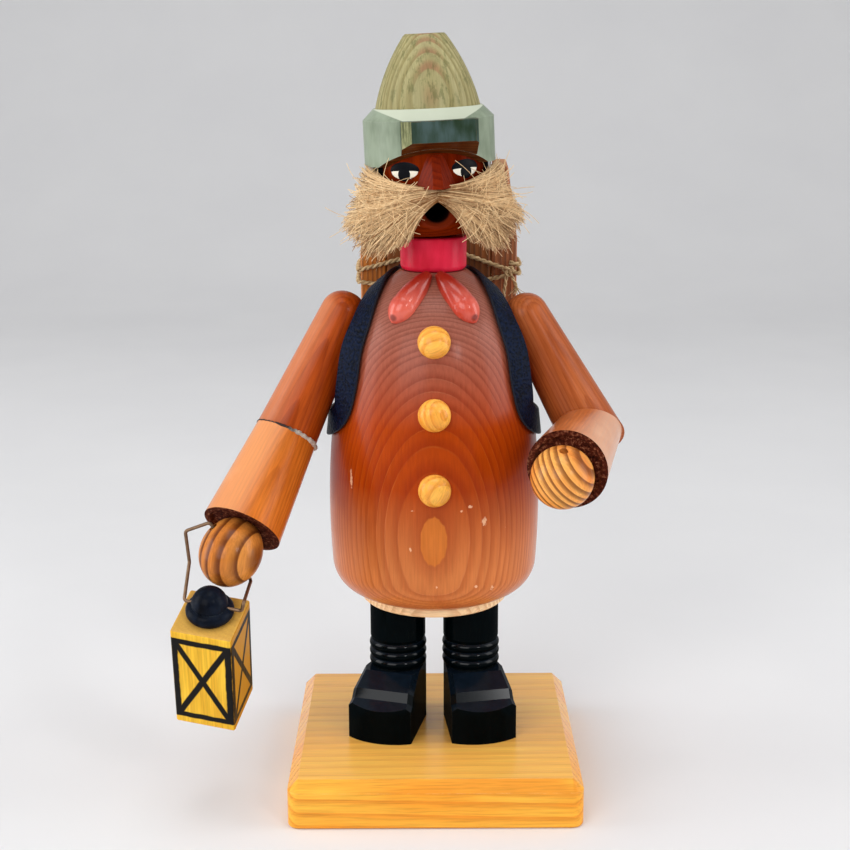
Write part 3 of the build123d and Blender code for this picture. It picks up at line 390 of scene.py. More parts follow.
# %% Worn edges and age marks
worn_edges, bench, entry, leave = new_group(
    "worn_edges",
    [PLACE_INPUT, ("Reach", "Float", 0.0006), ("Grain", "Float", 700.0)],
    [("Edge", "Float")],
)
rounded = bench.add("Bevel", {"Radius": entry["Reach"]}, samples=6)
sharp = bench.add("NewGeometry")
same = bench.vector("DOT_PRODUCT", rounded.outputs["Normal"], sharp.outputs["Normal"])
near_edge = bench.ease(bench.minus(1.0, same), 0.015, 0.16)
scaled = bench.add("VectorMath", {0: entry["Place"], "Scale": entry["Grain"]}, operation="SCALE")
crumble = bench.ease(bench.noise(scaled.outputs["Vector"], None, 3.0, 0.65), 0.38, 0.62)
bench.feed(leave["Edge"], bench.times(near_edge, crumble))

age_marks, bench, entry, leave = new_group(
    "age_marks", [PLACE_INPUT], [("Nick", "Float"), ("Haze", "Float")]
)
nick_field = bench.noise(entry["Place"], (330.0, 330.0, 120.0), 4.0, 0.7)
bench.feed(leave["Nick"], bench.ease(nick_field, 0.735, 0.765))
haze_field = bench.noise(entry["Place"], (48.0, 48.0, 60.0), 4.0, 0.6)
bench.feed(leave["Haze"], bench.ease(haze_field, 0.45, 0.75))
print("groups:", sorted(g.name for g in bpy.data.node_groups))

# %% [markdown]
# The coat is the hollow body: red-brown stain under varnish, dusky towards the shoulders and paler and
# pinker towards the hem. The pale hem is partly painted reflection, standing in for the haze of light on the
# lower coat. Stain turns pine's grain round: the soft early wood drinks it and goes dark, while the hard end
# of each year stays a thin pale line. The pith stands behind the middle of the body and leans a little, so
# that one shell just grazes the front and leaves a lens below the low button. Hands have rubbed the varnish
# thin round the middle; it shines above and below.


# %% Coat
def grain_frame(start, aim):
    """A frame at a point whose z runs along the grain."""
    return Matrix.Translation(start) @ Vector(aim).to_track_quat("Z", "Y").to_matrix().to_4x4()


def in_frame(bench, place, matrix):
    """The place on a piece, told in a tilted frame."""
    sockets = {"Vector": place, "Location": matrix.to_translation(), "Rotation": matrix.to_euler()}
    return bench.add("Mapping", sockets, vector_type="TEXTURE").outputs["Vector"]


HEM_Z, COAT_TOP_Z, LENS_R = 0.066, 0.176, 0.066665
# The low stop is paler and pinker partly as painted reflection of the haze of light on the lower coat.
COAT_STOPS = ((0.05, 0), (0.34, 1), (0.60, 1), (0.95, 2))
coat_colours = {
    "early": ((206, 120, 64), (170, 62, 2), (154, 92, 76)),
    "dark": ((184, 96, 46), (150, 47, 1), (128, 70, 56)),
    "line": ((230, 150, 96), (206, 104, 36), (196, 138, 118)),
}
coat_stain, bench, shader, place = new_finish("coat_stain")
axes = bench.parts(place)
up_the_coat = bench.ease(axes["Z"], HEM_Z, COAT_TOP_Z)
coat_tones = {
    label: bench.ramp(up_the_coat, *[(at, paint(*tones[which])) for at, which in COAT_STOPS])
    for label, tones in coat_colours.items()
}
from_trunk = in_frame(bench, place, grain_frame((0.0003, 0.03167, 0.097), (0.0, -0.015, 1.0)))
rings = bench.group(year_rings, {"Place": from_trunk, "Ring Width": 0.00085, "Wander": 0.0003})
colour = bench.blend(bench.times(rings["Late Wood"], 0.8), coat_tones["early"], coat_tones["dark"])
patchy = bench.noise(place, (60.0, 60.0, 24.0), 3.0)
faint = bench.times(rings["Year Line"], bench.ease(patchy, 0.25, 0.8))
colour = bench.blend(bench.times(faint, 0.75), colour, coat_tones["line"])
colour = bench.blend(bench.times(bench.ease(patchy, 0.56, 0.72), 0.8), colour, coat_tones["dark"])
shell = bench.vector("LENGTH", bench.vector("MULTIPLY", from_trunk, ACROSS_GRAIN))
shell = bench.times_plus(patchy, 0.00004, shell)
lens = bench.ease(shell, LENS_R, LENS_R + 0.000025)
lens_rim = bench.times(bench.ease(shell, LENS_R - 0.000065, LENS_R - 0.000005), bench.minus(1.0, lens))
colour = bench.blend(bench.times(lens_rim, 0.6), colour, coat_tones["dark"])
colour = bench.blend(bench.times(lens, 0.8), colour, paint(210, 118, 44))
colour = with_fibres(bench, colour, rings["Fibre"], (0.84, 0.82, 0.80, 1.0), (1.10, 1.09, 1.08, 1.0))
print("coat tones:", sorted(coat_tones))

# %% [markdown]
# Years of handling left chips on the coat where the stain is gone. A few lie where the eye goes first,
# so they are set one by one: each is a small oval in front of the body, its edge broken by noise.


# %% Chips in the coat
def varnish(shader, weight, roughness, thin=False):
    """A clear coat; a thin one hardly shows in front, and shines at the rims."""
    shader.inputs["Specular IOR Level"].default_value = 0.05
    shader.inputs["Coat Weight"].default_value = weight
    shader.inputs["Coat Roughness"].default_value = roughness
    shader.inputs["Coat IOR"].default_value = 1.2 if thin else 1.5


def grey(share):
    """A share as a colour, for a ramp that puts out a value."""
    return (share, share, share, 1.0)


# Each chip: across, up, half its width and half its height.
COAT_CHIPS = (
    (-0.0268, 0.1105, 0.0005, 0.0040),
    (-0.0078, 0.0902, 0.0005, 0.0011),
    (0.0005, 0.0775, 0.0007, 0.0006),
    (0.0158, 0.0985, 0.0011, 0.0019),
    (0.0112, 0.1040, 0.0009, 0.0006),
    (0.0186, 0.0752, 0.0008, 0.0012),
    (0.0132, 0.0768, 0.0006, 0.0006),
    (0.0085, 0.1028, 0.0006, 0.0005),
    (-0.0072, 0.1030, 0.0008, 0.0003),
)
ragged = bench.noise(place, (1500.0, 1500.0, 900.0), 3.0, 0.7)
chipped = 0.0
for chip_x, chip_z, half_wide, half_high in COAT_CHIPS:
    wide = bench.math("DIVIDE", bench.minus(axes["X"], chip_x), half_wide)
    high = bench.math("DIVIDE", bench.minus(axes["Z"], chip_z), half_high)
    reach = bench.math("ADD", bench.times(wide, wide), bench.times(high, high))
    oval = bench.ease(bench.times_plus(ragged, -3.2, reach), -0.9, -1.5)
    chipped = bench.math("MAXIMUM", chipped, oval)
front = bench.math("LESS_THAN", axes["Y"], 0.0)
marks = bench.group(age_marks, {"Place": place})
bare = bench.math("MAXIMUM", bench.times(chipped, front), marks["Nick"])
colour = bench.blend(bench.times(bare, 0.8), colour, paint(238, 186, 146))
rough = bench.times_plus(bare, 0.3, bench.times_plus(marks["Haze"], 0.10, 0.40))
ribs = bench.times_plus(rings["Year Line"], 0.5, rings["Fibre"])
lay_on(bench, shader, colour, rough, bench.minus(ribs, bare), 0.10, 0.0002)
varnish(shader, 1.0, 0.2, thin=True)
rubbed_thin = bench.ramp(up_the_coat, (0.06, grey(1.0)), (0.42, grey(0.45)), (0.8, grey(1.0)))
bench.feed(shader.inputs["Coat Weight"], rubbed_thin)
dress(coat_stain, "torso")
print("chips:", len(COAT_CHIPS))

# %% [markdown]
# The sleeves are turned tapers, mitred and glued at the elbow. Their grain runs down each limb, so the
# place on a sleeve has to be told in the limb's own frame. That frame starts at the shoulder, which
# stands off the body's curved flank, so the body's outline is worked out here as the CAD has it: a long
# arc for the barrel and a tighter one, tangent to it, for the shoulder.

# %% Limb frames
SIDES = (("right", -1), ("left", 1))
BODY_R, BODY_MID, BARREL_ARC, SHOULDER_Z = 35.1, 97.0, 265.0, 146.0
COLLAR_R, BODY_TOP, SEAT_TOP = 10.8, 175.2, 66.5
barrel_lean = math.asin((SHOULDER_Z - BODY_MID) / BARREL_ARC)
barrel_x = BODY_R - BARREL_ARC
fall_in = barrel_x + BARREL_ARC * math.cos(barrel_lean) - COLLAR_R
fall_up = SHOULDER_Z - BODY_TOP
fall_out = fall_in * math.cos(barrel_lean) + fall_up * math.sin(barrel_lean)
SHOULDER_ARC = (fall_in**2 + fall_up**2) / (2 * fall_out)
shoulder_x = barrel_x + (BARREL_ARC - SHOULDER_ARC) * math.cos(barrel_lean)
shoulder_z = BODY_MID + (BARREL_ARC - SHOULDER_ARC) * math.sin(barrel_lean)


def body_surface(height):
    """Radius of the body at a height in mm, and its outward direction as radial and upward parts."""
    if height < SHOULDER_Z:
        x, z, arc = barrel_x, BODY_MID, BARREL_ARC
    else:
        x, z, arc = shoulder_x, shoulder_z, SHOULDER_ARC
    lean = math.asin((height - z) / arc)
    return x + arc * math.cos(lean), math.cos(lean), math.sin(lean)


UPPER_ARM, ARM_STANDOFF, ARM_FORWARD = 44.5, 4.8, 0.5
arm_heights = {"right": 161.0, "left": 160.0}
limb_aims = {
    "right": (Vector((-0.424, -0.252, -0.870)).normalized(), Vector((-0.352, -0.631, -0.691)).normalized()),
    "left": (Vector((0.485, -0.099, -0.870)).normalized(), Vector((-0.285, -0.953, -0.100)).normalized()),
}
shoulders, elbows = {}, {}
for side, sign in SIDES:
    out = sign * (body_surface(arm_heights[side])[0] + ARM_STANDOFF)
    shoulders[side] = Vector((out, ARM_FORWARD, arm_heights[side])) * MM
    elbows[side] = shoulders[side] + limb_aims[side][0] * UPPER_ARM * MM
print("elbows in mm:", {side: [round(v / MM, 1) for v in elbow] for side, elbow in elbows.items()})

# %% [markdown]
# Three sleeves have a painted sheen on one side: a paler tone painted where the light's sheen and rim glow
# lie on the glossy sleeve. It could be painted by hand; here the direction in which the surface looks gives
# the mask, and the dust haze breaks it up. The open cuff is end grain: it drank the stain, stayed rough and
# dark, and has no varnish.


# %% Sleeves
def sleeve_stain(name, start, aim, pith, tones, wear_and_sheen, cuff):
    """A stained sleeve; one with painted sheen gives it as left or right, where it starts and ends, and a
    tone.
    """
    material, bench, shader, place = new_finish(name)
    along = in_frame(bench, place, grain_frame(start, aim))
    sleeve = wood_grain(bench, along, pith, 0.0013, 0.0007, tones, 0.28 if cuff else 0.40, 0.40)
    marks = bench.group(age_marks, {"Place": place})
    colour = bench.blend(marks["Nick"], sleeve["Color"], paint(222, 170, 134))
    if wear_and_sheen:
        # Painted sheen: a paler tone blended onto the side that looks one way, where the light's sheen and
        # rim glow fall.
        outward, low, high, sheen_tone = wear_and_sheen
        outer = bench.vector("DOT_PRODUCT", bench.facing(), (outward, 0.0, 0.0))
        painted_sheen = bench.times(bench.ease(outer, low, high), bench.times_plus(marks["Haze"], 0.25, 0.6))
        colour = bench.blend(painted_sheen, colour, paint(*sheen_tone))
    rough = bench.times_plus(marks["Haze"], 0.12, sleeve["Roughness"])
    height = sleeve["Height"]
    gloss = 1.0 if cuff else 0.9
    varnish(shader, gloss, 0.24, thin=True)
    if cuff:
        open_end = bench.ease(bench.vector("DOT_PRODUCT", bench.facing(), tuple(aim)), 0.25, 0.6)
        torn = bench.noise(along, (900.0, 900.0, 500.0), 5.0, 0.75)
        end_tones = ((0.36, paint(30, 9, 5)), (0.54, paint(82, 32, 18)), (0.74, paint(178, 120, 88)))
        colour = bench.blend(open_end, colour, bench.ramp(torn, *end_tones))
        rough = bench.math("MAXIMUM", rough, bench.times(open_end, 0.85))
        height = bench.times_plus(bench.times(torn, open_end), 12.0, height)
        bench.feed(shader.inputs["Coat Weight"], bench.times(bench.minus(1.0, open_end), gloss))
    lay_on(bench, shader, colour, rough, height, 0.14, 0.0002)
    return material


# The left forearm's tones are paler than the others' partly as painted reflection, standing in for the hazy
# sheen of light on its upper side.
sleeve_tones = {
    "right_upper_arm": ((182, 78, 20), (154, 56, 7), (126, 40, 4)),
    "right_forearm": ((217, 120, 40), (190, 90, 17), (154, 64, 6)),
    "left_upper_arm": ((194, 108, 58), (166, 82, 38), (138, 58, 20)),
    "left_forearm": ((216, 134, 82), (194, 108, 58), (168, 84, 40)),
}
# Painted sheen on three sleeves: the direction it faces, where its mask starts and ends, and its pale tone.
sleeve_sheens = {
    "right_upper_arm": (-1.0, -0.05, 0.75, (216, 140, 98)),
    "right_forearm": (-1.0, -0.4, 0.2, (240, 170, 118)),
    "left_forearm": (1.0, 0.1, 0.7, (232, 180, 146)),
}
for side, pith_x in (("right", 0.017), ("left", -0.015)):
    upper_aim, fore_aim = limb_aims[side]
    for limb, finish_name, start, aim, pith_y, cuff in (
        (side + "_upper_arm", side + "_sleeve", shoulders[side], upper_aim, 0.012, False),
        (side + "_forearm", side + "_cuff", elbows[side], fore_aim, 0.015, True),
    ):
        pith = (pith_x, pith_y, 0.0)
        tones, wear_and_sheen = sleeve_tones[limb], sleeve_sheens.get(limb)
        dress(sleeve_stain(finish_name, start, aim, pith, tones, wear_and_sheen, cuff), limb)
print("sleeves dressed:", sorted(sleeve_tones))

# %% [markdown]
# Hands and buttons are bare wood under clear varnish. The right hand was turned from a coarse piece, so
# a few broad dark rings cross the ball; the left one's rings are closer. The buttons are honey coloured
# with fainter lines. One function makes them all, because only the pith, the rings and the tones differ.


# %% Hands and buttons
def clear_wood(name, matrix, pith, ring, wander, tones, contrast, polish, clear):
    """Varnished wood; tones are the pale, deep and late colours."""
    material, bench, shader, place = new_finish(name)
    wood = wood_grain(bench, in_frame(bench, place, matrix), pith, ring, wander, tones, contrast, polish)
    lay_on(bench, shader, wood["Color"], wood["Roughness"], wood["Height"], 0.10, 0.0002)
    varnish(shader, clear, 0.2)
    return material


hand_centres = {"right": Vector((-64.24, -39.08, 91.22)) * MM, "left": Vector((39.25, -45.53, 116.95)) * MM}
hand_grain = {
    "right": grain_frame(hand_centres["right"], (0.15, 0.1, 1.0)),
    "left": grain_frame(hand_centres["left"], (-0.62, 0.1, 0.78)),
}
hand_rings = {"right": ((0.025, 0.019, 0), 0.0040, 0.0030), "left": ((0.0, -0.030, 0), 0.0021, 0.0020)}
hand_tones = {
    "right": ((216, 140, 64), (192, 108, 38), (86, 30, 7)),
    "left": ((255, 186, 98), (230, 126, 46), (100, 42, 10)),
}
for side, contrast in (("right", 0.85), ("left", 0.8)):
    name = side + "_hand"
    hand_wood = clear_wood(
        name + "_wood", hand_grain[side], *hand_rings[side], hand_tones[side], contrast, 0.4, 0.3
    )
    dress(hand_wood, name)
button_tones = ((255, 190, 84), (246, 164, 58), (214, 116, 30))
for name, turn in (("button_top", 0.4), ("button_middle", 1.9), ("button_low", 1.1)):
    low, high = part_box(name)
    across = grain_frame((low + high) / 2, (math.cos(turn), 0.0, math.sin(turn)))
    pith = (0.012, 0.008, 0)
    dress(clear_wood(name + "_wood", across, pith, 0.0021, 0.0006, button_tones, 0.5, 0.35, 0.4), name)
print("hands and buttons dressed")

# %% [markdown]
# The board is a plank of varnished pine. Its grain runs from side to side, and its pith lay below and
# behind, so the front edge shows the rings as level lines and the top shows them as bands. The varnish is
# worn dull along the front, where hands take hold of it, and the top is painted a little paler, a painted
# highlight for the light that falls on it from above.

# %% Board and seat
BOARD_FRONT = -0.036
plank_grain = grain_frame((0.0, 0.0, 0.0), (1.0, 0.02, 0.0))
board_tones = ((255, 190, 70), (254, 172, 52), (224, 124, 26))
board_finish, bench, shader, place = new_finish("board_pine")
plank_place = in_frame(bench, place, plank_grain)
plank = wood_grain(bench, plank_place, (0.10, -0.15, 0.0), 0.0030, 0.0013, board_tones, 0.52, 0.34)
marks = bench.group(age_marks, {"Place": place})
wear_and_sheen = bench.group(worn_edges, {"Place": place, "Reach": 0.0009, "Grain": 260.0})
colour = bench.blend(marks["Nick"], plank["Color"], paint(160, 90, 44))
colour = bench.blend(bench.times(wear_and_sheen["Edge"], 0.5), colour, paint(252, 206, 136))
# Painted highlight: faces that look up are painted paler, for the light from above.
painted_top_light = bench.ease(bench.parts(bench.facing())["Z"], 0.8, 0.95)
colour = bench.blend(bench.times(painted_top_light, 0.4), colour, paint(255, 214, 118))
rough = bench.times_plus(marks["Haze"], 0.14, plank["Roughness"])
lay_on(bench, shader, colour, rough, plank["Height"], 0.10, 0.0003)
varnish(shader, 1.0, 0.2)
from_front = bench.ease(bench.parts(place)["Y"], BOARD_FRONT, 0.0)
bench.feed(shader.inputs["Coat Weight"], bench.times_plus(from_front, 0.65, 0.35))
dress(board_finish, "base_board")
seat_tones = ((255, 224, 180), (250, 208, 158), (212, 152, 102))
seat_pith = (-0.08, 0.05, 0)
seat_wood = clear_wood("seat_wood", plank_grain, seat_pith, 0.0017, 0.0008, seat_tones, 0.5, 0.55, 0.1)
dress(seat_wood, "seat_plate")
dowel_tones = ((226, 196, 150), (210, 176, 128), (180, 140, 92))
dowel_grain, dowel_pith = grain_frame((0, 0, 0), (0, 0, 1)), (0.01, 0.01, 0)
dowel_wood = clear_wood("dowel_wood", dowel_grain, dowel_pith, 0.0008, 0.0003, dowel_tones, 0.4, 0.6, 0.0)
dress(dowel_wood, "shoe_dowels", "shoulder_dowels", "elbow_dowels", "pack_dowels")
print("board, seat and dowels dressed")

# %% [markdown]
# Shoes and trouser legs are carved and turned wood under thick black lacquer. Black needs help to show its
# form: a faint brush ripple, a little wear on the carved edges, and a painted bluish sheen on what looks up,
# a paler tone that stands in for the lacquer's reflection of the bright tent above. The clear coat shines on
# the sloping and flat faces and hardly on the upright ones.

# %% Lacquered shoes and legs
boot_lacquer, bench, shader, place = new_finish("boot_lacquer")
ripple = bench.noise(place, (520.0, 520.0, 210.0), 3.0)
wear_and_sheen = bench.group(worn_edges, {"Place": place, "Reach": 0.0007, "Grain": 900.0})
marks = bench.group(age_marks, {"Place": place})
lacquer = bench.blend(ripple, paint(1, 3, 4), paint(3, 10, 13))
lacquer = bench.blend(bench.times(wear_and_sheen["Edge"], 0.22), lacquer, paint(70, 68, 64))
upward = bench.parts(bench.facing())["Z"]
# Painted sheen: faces that look up are painted a bluish grey, standing in for the reflection of the light
# above.
bloom_and_sheen = bench.times(bench.ease(upward, 0.25, 0.95), bench.times_plus(ripple, 0.8, 0.3))
painted_sheen_lacquer = bench.blend(bloom_and_sheen, lacquer, paint(18, 28, 40))
lay_on(bench, shader, painted_sheen_lacquer, bench.times_plus(marks["Haze"], 0.2, 0.25), ripple, 0.18, 0.0003)
varnish(shader, 0.12, 0.1)
shine = bench.times_plus(bench.ease(upward, 0.15, 0.4), 0.30, 0.05)
bench.feed(shader.inputs["Coat Weight"], shine)
shader.inputs["Specular IOR Level"].default_value = 0.0
dress(boot_lacquer, "right_shoe", "left_shoe", "right_leg", "left_leg")
print("black lacquer on shoes and legs")

# %% [markdown]
# Collar, kerchief, cap and the lantern's lid are painted with a brush. Thin paint pools in places and
# shows the strokes, and it rubs off along the edges. A flat colour would look like plastic, so a group
# mixes a light and a dark tone by pooling and strokes, and lets a bare tone through where it is worn.

# %% Brushed paint
brushed_paint, bench, entry, leave = new_group(
    "brushed_paint",
    [
        PLACE_INPUT,
        ("Light", "Color", (1.0, 1.0, 1.0, 1.0)),
        ("Dark", "Color", (0.5, 0.5, 0.5, 1.0)),
        ("Bare", "Color", (0.4, 0.2, 0.1, 1.0)),
        ("Wear", "Float", 0.5),
    ],
    [("Color", "Color"), ("Height", "Float"), ("Roughness", "Float")],
)
strokes = bench.noise(entry["Place"], (420.0, 420.0, 95.0), 4.0, 0.6)
pooling = bench.noise(entry["Place"], 95.0, 2.0)
coverage = bench.times_plus(pooling, 0.6, bench.times(strokes, 0.4))
coloured = bench.blend(bench.ease(coverage, 0.34, 0.66), entry["Dark"], entry["Light"])
edge = bench.group(worn_edges, {"Place": entry["Place"], "Reach": 0.0005, "Grain": 800.0})["Edge"]
bench.feed(leave["Color"], bench.blend(bench.times(edge, entry["Wear"]), coloured, entry["Bare"]))
bench.feed(leave["Height"], strokes)
bench.feed(leave["Roughness"], bench.times_plus(strokes, 0.2, 0.3))


def painted_wood(name, light, dark, bare, wear, clear, matrix=Matrix.Identity(4)):
    """Brushed paint over wood; returns the material with what a spot or a cut in it needs."""
    material, bench, shader, place = new_finish(name)
    told = in_frame(bench, place, matrix)
    tones = {"Light": paint(*light), "Dark": paint(*dark), "Bare": paint(*bare)}
    coat = bench.group(brushed_paint, {"Place": told, **tones, "Wear": wear})
    lay_on(bench, shader, coat["Color"], coat["Roughness"], coat["Height"], 0.12, 0.0002)
    varnish(shader, clear, 0.15)
    return material, bench, shader, place, coat


print("brushed paint takes", [s.name for s in entry if s.name])

# %% [markdown]
# Collar and kerchief are red: the collar a cool pink-red, brushed on flat, and the two knotted ends a
# warm, glossy orange-red that deepens towards the knot. Each end has a small dark spot at its tip where
# it was held to dry. A distance from the tip makes the spot, which is simpler than unwrapping the piece.

# %% Collar and kerchief
collar_paint = painted_wood("collar_paint", (232, 42, 72), (210, 24, 52), (244, 130, 140), 0.6, 0.15)[0]
dress(collar_paint, "collar")
KERCHIEF_TIP = Vector((0.0018, 0.0012, 0.0022))
for side, sign in SIDES:
    name = "kerchief_" + side
    red, bench, shader, place, coat = painted_wood(
        name + "_paint", (222, 104, 86), (196, 64, 46), (150, 60, 40), 0.2, 0.8
    )
    low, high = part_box(name)
    near_knot = bench.ease(bench.parts(place)["Z"], low.z + 0.005, high.z - 0.001)
    red_wood = bench.blend(bench.times(near_knot, 0.85), coat["Color"], paint(140, 22, 10))
    tip_x = low.x + KERCHIEF_TIP.x if sign < 0 else high.x - KERCHIEF_TIP.x
    tip = (tip_x, low.y + KERCHIEF_TIP.y, low.z + KERCHIEF_TIP.z)
    from_tip = bench.vector("LENGTH", bench.vector("SUBTRACT", place, tip))
    spot = bench.minus(1.0, bench.ease(from_tip, 0.0007, 0.0016))
    spotted = bench.blend(bench.times(spot, 0.75), red_wood, paint(96, 26, 18))
    bench.feed(shader.inputs["Base Color"], spotted)
    dress(red, name)
print("collar and kerchief painted")

# %% [markdown]
# The head leans and turns a little on its neck, so everything on it is told in the head's own frame.
# The face is stained wood; behind the ears it is black paint for hair, and the mouth is a bevelled
# round hole, black inside from use. Masks in the head's frame give each of these a soft brushed edge.

# %% Face
HEAD_R, HEAD_BASE, MOUTH_Z = 18.6, 187.0, 0.009
head_frame = (
    Matrix.Translation((0, 0, HEAD_BASE * MM))
    @ Matrix.Rotation(math.radians(-2.4), 4, "Y")
    @ Matrix.Rotation(math.radians(5.0), 4, "Z")
)
face_tones = ((128, 40, 3), (100, 24, 1), (74, 13, 1))
face_stain, bench, shader, place = new_finish("face_stain")
on_head = in_frame(bench, place, head_frame)
face = wood_grain(bench, on_head, (0.004, 0.024, 0.0), 0.0012, 0.0006, face_tones, 0.5, 0.42)
axes = bench.parts(on_head)
round_head = bench.math("ARCTAN2", bench.size(axes["X"]), bench.times(axes["Y"], -1.0))
ragged = bench.noise(on_head, (420.0, 420.0, 130.0), 3.0)
hairline = bench.ease(bench.times_plus(ragged, 0.14, round_head), 1.06, 1.12)
nape = bench.ease(bench.times_plus(ragged, 0.004, axes["Z"]), 0.0055, 0.0075)
hair = bench.times(hairline, nape)
mouth_x = bench.math("POWER", axes["X"], 2.0)
mouth_z = bench.math("POWER", bench.minus(axes["Z"], MOUTH_Z), 2.0)
from_mouth = bench.math("SQRT", bench.math("ADD", mouth_x, mouth_z))
front = bench.ease(bench.times(axes["Y"], -1.0), 0.0, 0.004)
lip = bench.times(bench.minus(1.0, bench.ease(from_mouth, 0.0060, 0.0066)), front)
soot = bench.times(bench.minus(1.0, bench.ease(from_mouth, 0.0037, 0.0047)), front)
colour = bench.blend(bench.times(lip, 0.7), face["Color"], paint(118, 40, 18))
colour = bench.blend(soot, colour, paint(16, 11, 9))
colour = bench.blend(hair, colour, paint(15, 14, 15))
lay_on(bench, shader, colour, face["Roughness"], face["Height"], 0.12, 0.0002)
varnish(shader, 0.03, 0.2)
shader.inputs["Specular IOR Level"].default_value = 0.0
dress(face_stain, "head")
nose_tones, nose_pith = ((126, 34, 2), (104, 22, 1), (78, 12, 1)), (0.006, 0.01, 0)
dress(clear_wood("nose_stain", head_frame, nose_pith, 0.0011, 0.0004, nose_tones, 0.45, 0.38, 0.04), "nose")
print("face and nose stained")

# %% [markdown]
# The cap's band and visor are painted wood: the band a pale sage whose bevelled top is painted paler still,
# a painted highlight for the light it catches; the visor darker, with a strip of bark left on its split
# side. The band was cut on a slant above the face, and that cut shows stained wood, not paint. The cut and
# the bark take their masks from the direction of a face, and the highlight from the height above the band's
# upright faces.

# %% Cap band and visor
CUT_SLOPE, HAT_HIGH, BEVEL_HIGH = 0.59, 40.3, 3.5
FACET_HALF, FACET_CLIMB = 0.0095, 0.42
cut_away = tuple(head_frame.to_3x3() @ Vector((0.0, -CUT_SLOPE, -1.0)).normalized())
right_cheek = tuple(head_frame.to_3x3() @ Vector((-1.0, -1.0, 0.0)).normalized())
cut_tones = ((104, 58, 20), (76, 30, 8), (46, 14, 4))


def lit_bevel(bench, axes, colour):
    """A painted highlight on the bevel above the band's upright faces, which climbs beside the front facet.
    """
    aside = bench.minus(bench.size(axes["X"]), FACET_HALF)
    ridge = bench.times_plus(bench.math("MAXIMUM", aside, 0.0), FACET_CLIMB, (HAT_HIGH - BEVEL_HIGH) * MM)
    above = bench.ease(bench.minus(axes["Z"], ridge), -0.0001, 0.0002)
    lit = bench.times(above, bench.math("LESS_THAN", axes["Y"], 0.0))
    return bench.blend(bench.times(lit, 0.85), colour, paint(200, 206, 186))


def bark_side(bench, on_head, colour):
    """Flakes of bark on the side of the visor that looks to the right cheek."""
    split_side = bench.ease(bench.vector("DOT_PRODUCT", bench.facing(), right_cheek), 0.85, 0.97)
    bark = bench.noise(on_head, (900.0, 900.0, 160.0), 4.0, 0.7)
    flake_tones = ((0.3, paint(58, 62, 34)), (0.52, paint(120, 124, 84)), (0.75, paint(180, 172, 132)))
    return bench.blend(split_side, colour, bench.ramp(bark, *flake_tones))


for name, light, dark, bare, wear in (
    ("hat_band", (146, 158, 138), (120, 132, 112), (196, 200, 182), 0.55),
    ("hat_visor", (72, 90, 88), (38, 54, 36), (112, 84, 54), 0.8),
):
    wash, bench, shader, place, coat = painted_wood(name + "_wash", light, dark, bare, wear, 0.1, head_frame)
    on_head = in_frame(bench, place, head_frame)
    if name == "hat_band":
        colour = lit_bevel(bench, bench.parts(on_head), coat["Color"])
    else:
        colour = bark_side(bench, on_head, coat["Color"])
    cut = bench.ease(bench.vector("DOT_PRODUCT", bench.facing(), cut_away), 0.80, 0.93)
    sawn = wood_grain(bench, on_head, (0.0, 0.05, 0.0), 0.0016, 0.0006, cut_tones, 0.5, 0.55)
    bench.feed(shader.inputs["Base Color"], bench.blend(cut, colour, sawn["Color"]))
    dress(wash, name)
print("cap band and visor dressed")

# %% [markdown]
# The crown is turned from wild wood under a thin, streaky green wash: reddish in the arches up the
# front, olive beside them. Its trunk leans back, so the rings are measured in a leaning frame of their
# own, and they leave tall arches on the front, as a slanting cut through a log does.

# %% Cap crown
crown_wash, bench, shader, place = new_finish("crown_wash")
on_head = in_frame(bench, place, head_frame)
crown_grain = head_frame @ grain_frame((0.0006, 0.020, 0.0413), (0.0, 0.30, 1.0))
trunk = in_frame(bench, place, crown_grain)
rings = bench.group(year_rings, {"Place": trunk, "Ring Width": 0.0010, "Wander": 0.0007})
streaks = bench.noise(on_head, (620.0, 620.0, 70.0), 4.0, 0.7)
washed = bench.blend(bench.ease(rings["Figure"], 0.3, 0.7), paint(172, 164, 120), paint(144, 136, 92))
middle = bench.times_plus(streaks, 0.004, bench.size(bench.parts(on_head)["X"]))
late_tone = bench.blend(bench.ease(middle, 0.0035, 0.0075), paint(152, 100, 76), paint(130, 118, 74))
washed = bench.blend(bench.times(rings["Late Wood"], 0.62), washed, late_tone)
washed = bench.blend(bench.times(bench.ease(streaks, 0.48, 0.66), 0.65), washed, paint(104, 106, 66))
washed = with_fibres(bench, washed, rings["Fibre"], (0.80, 0.79, 0.78, 1.0), (1.10, 1.10, 1.09, 1.0))
relief = bench.math("ADD", rings["Fibre"], streaks)
lay_on(bench, shader, washed, bench.times_plus(streaks, 0.2, 0.42), relief, 0.25, 0.0003)
varnish(shader, 0.1, 0.2)
dress(crown_wash, "hat_crown")
print("crown dressed")

# %% [markdown]
# Some pieces aren't solids: strokes of paint, fibres, leather and glue. They are built as meshes of our
# own, point by point. Each rides on a body of the frame, so it moves with the figure, and says what it
# is made of. A mesh can also carry a value at each point, which its finish reads as a tone.


# %% Pieces of our own
def add_piece(name, points, faces, material, body):
    """A mesh piece in the object's own place, riding on a body of the frame."""
    mesh = bpy.data.meshes.new(name)
    mesh.from_pydata([tuple(p) for p in points], [], faces)
    mesh.polygons.foreach_set("use_smooth", [True] * len(mesh.polygons))
    mesh.materials.append(material)
    mesh.update()
    piece = bpy.data.objects.new(name, mesh)
    bpy.context.scene.collection.objects.link(piece)
    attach(piece, body)
    return piece


def mark_points(piece, label, values):
    """Write a value at each point of a piece, for its finish to read."""
    piece.data.attributes.new(label, "FLOAT", "POINT").data.foreach_set("value", values)


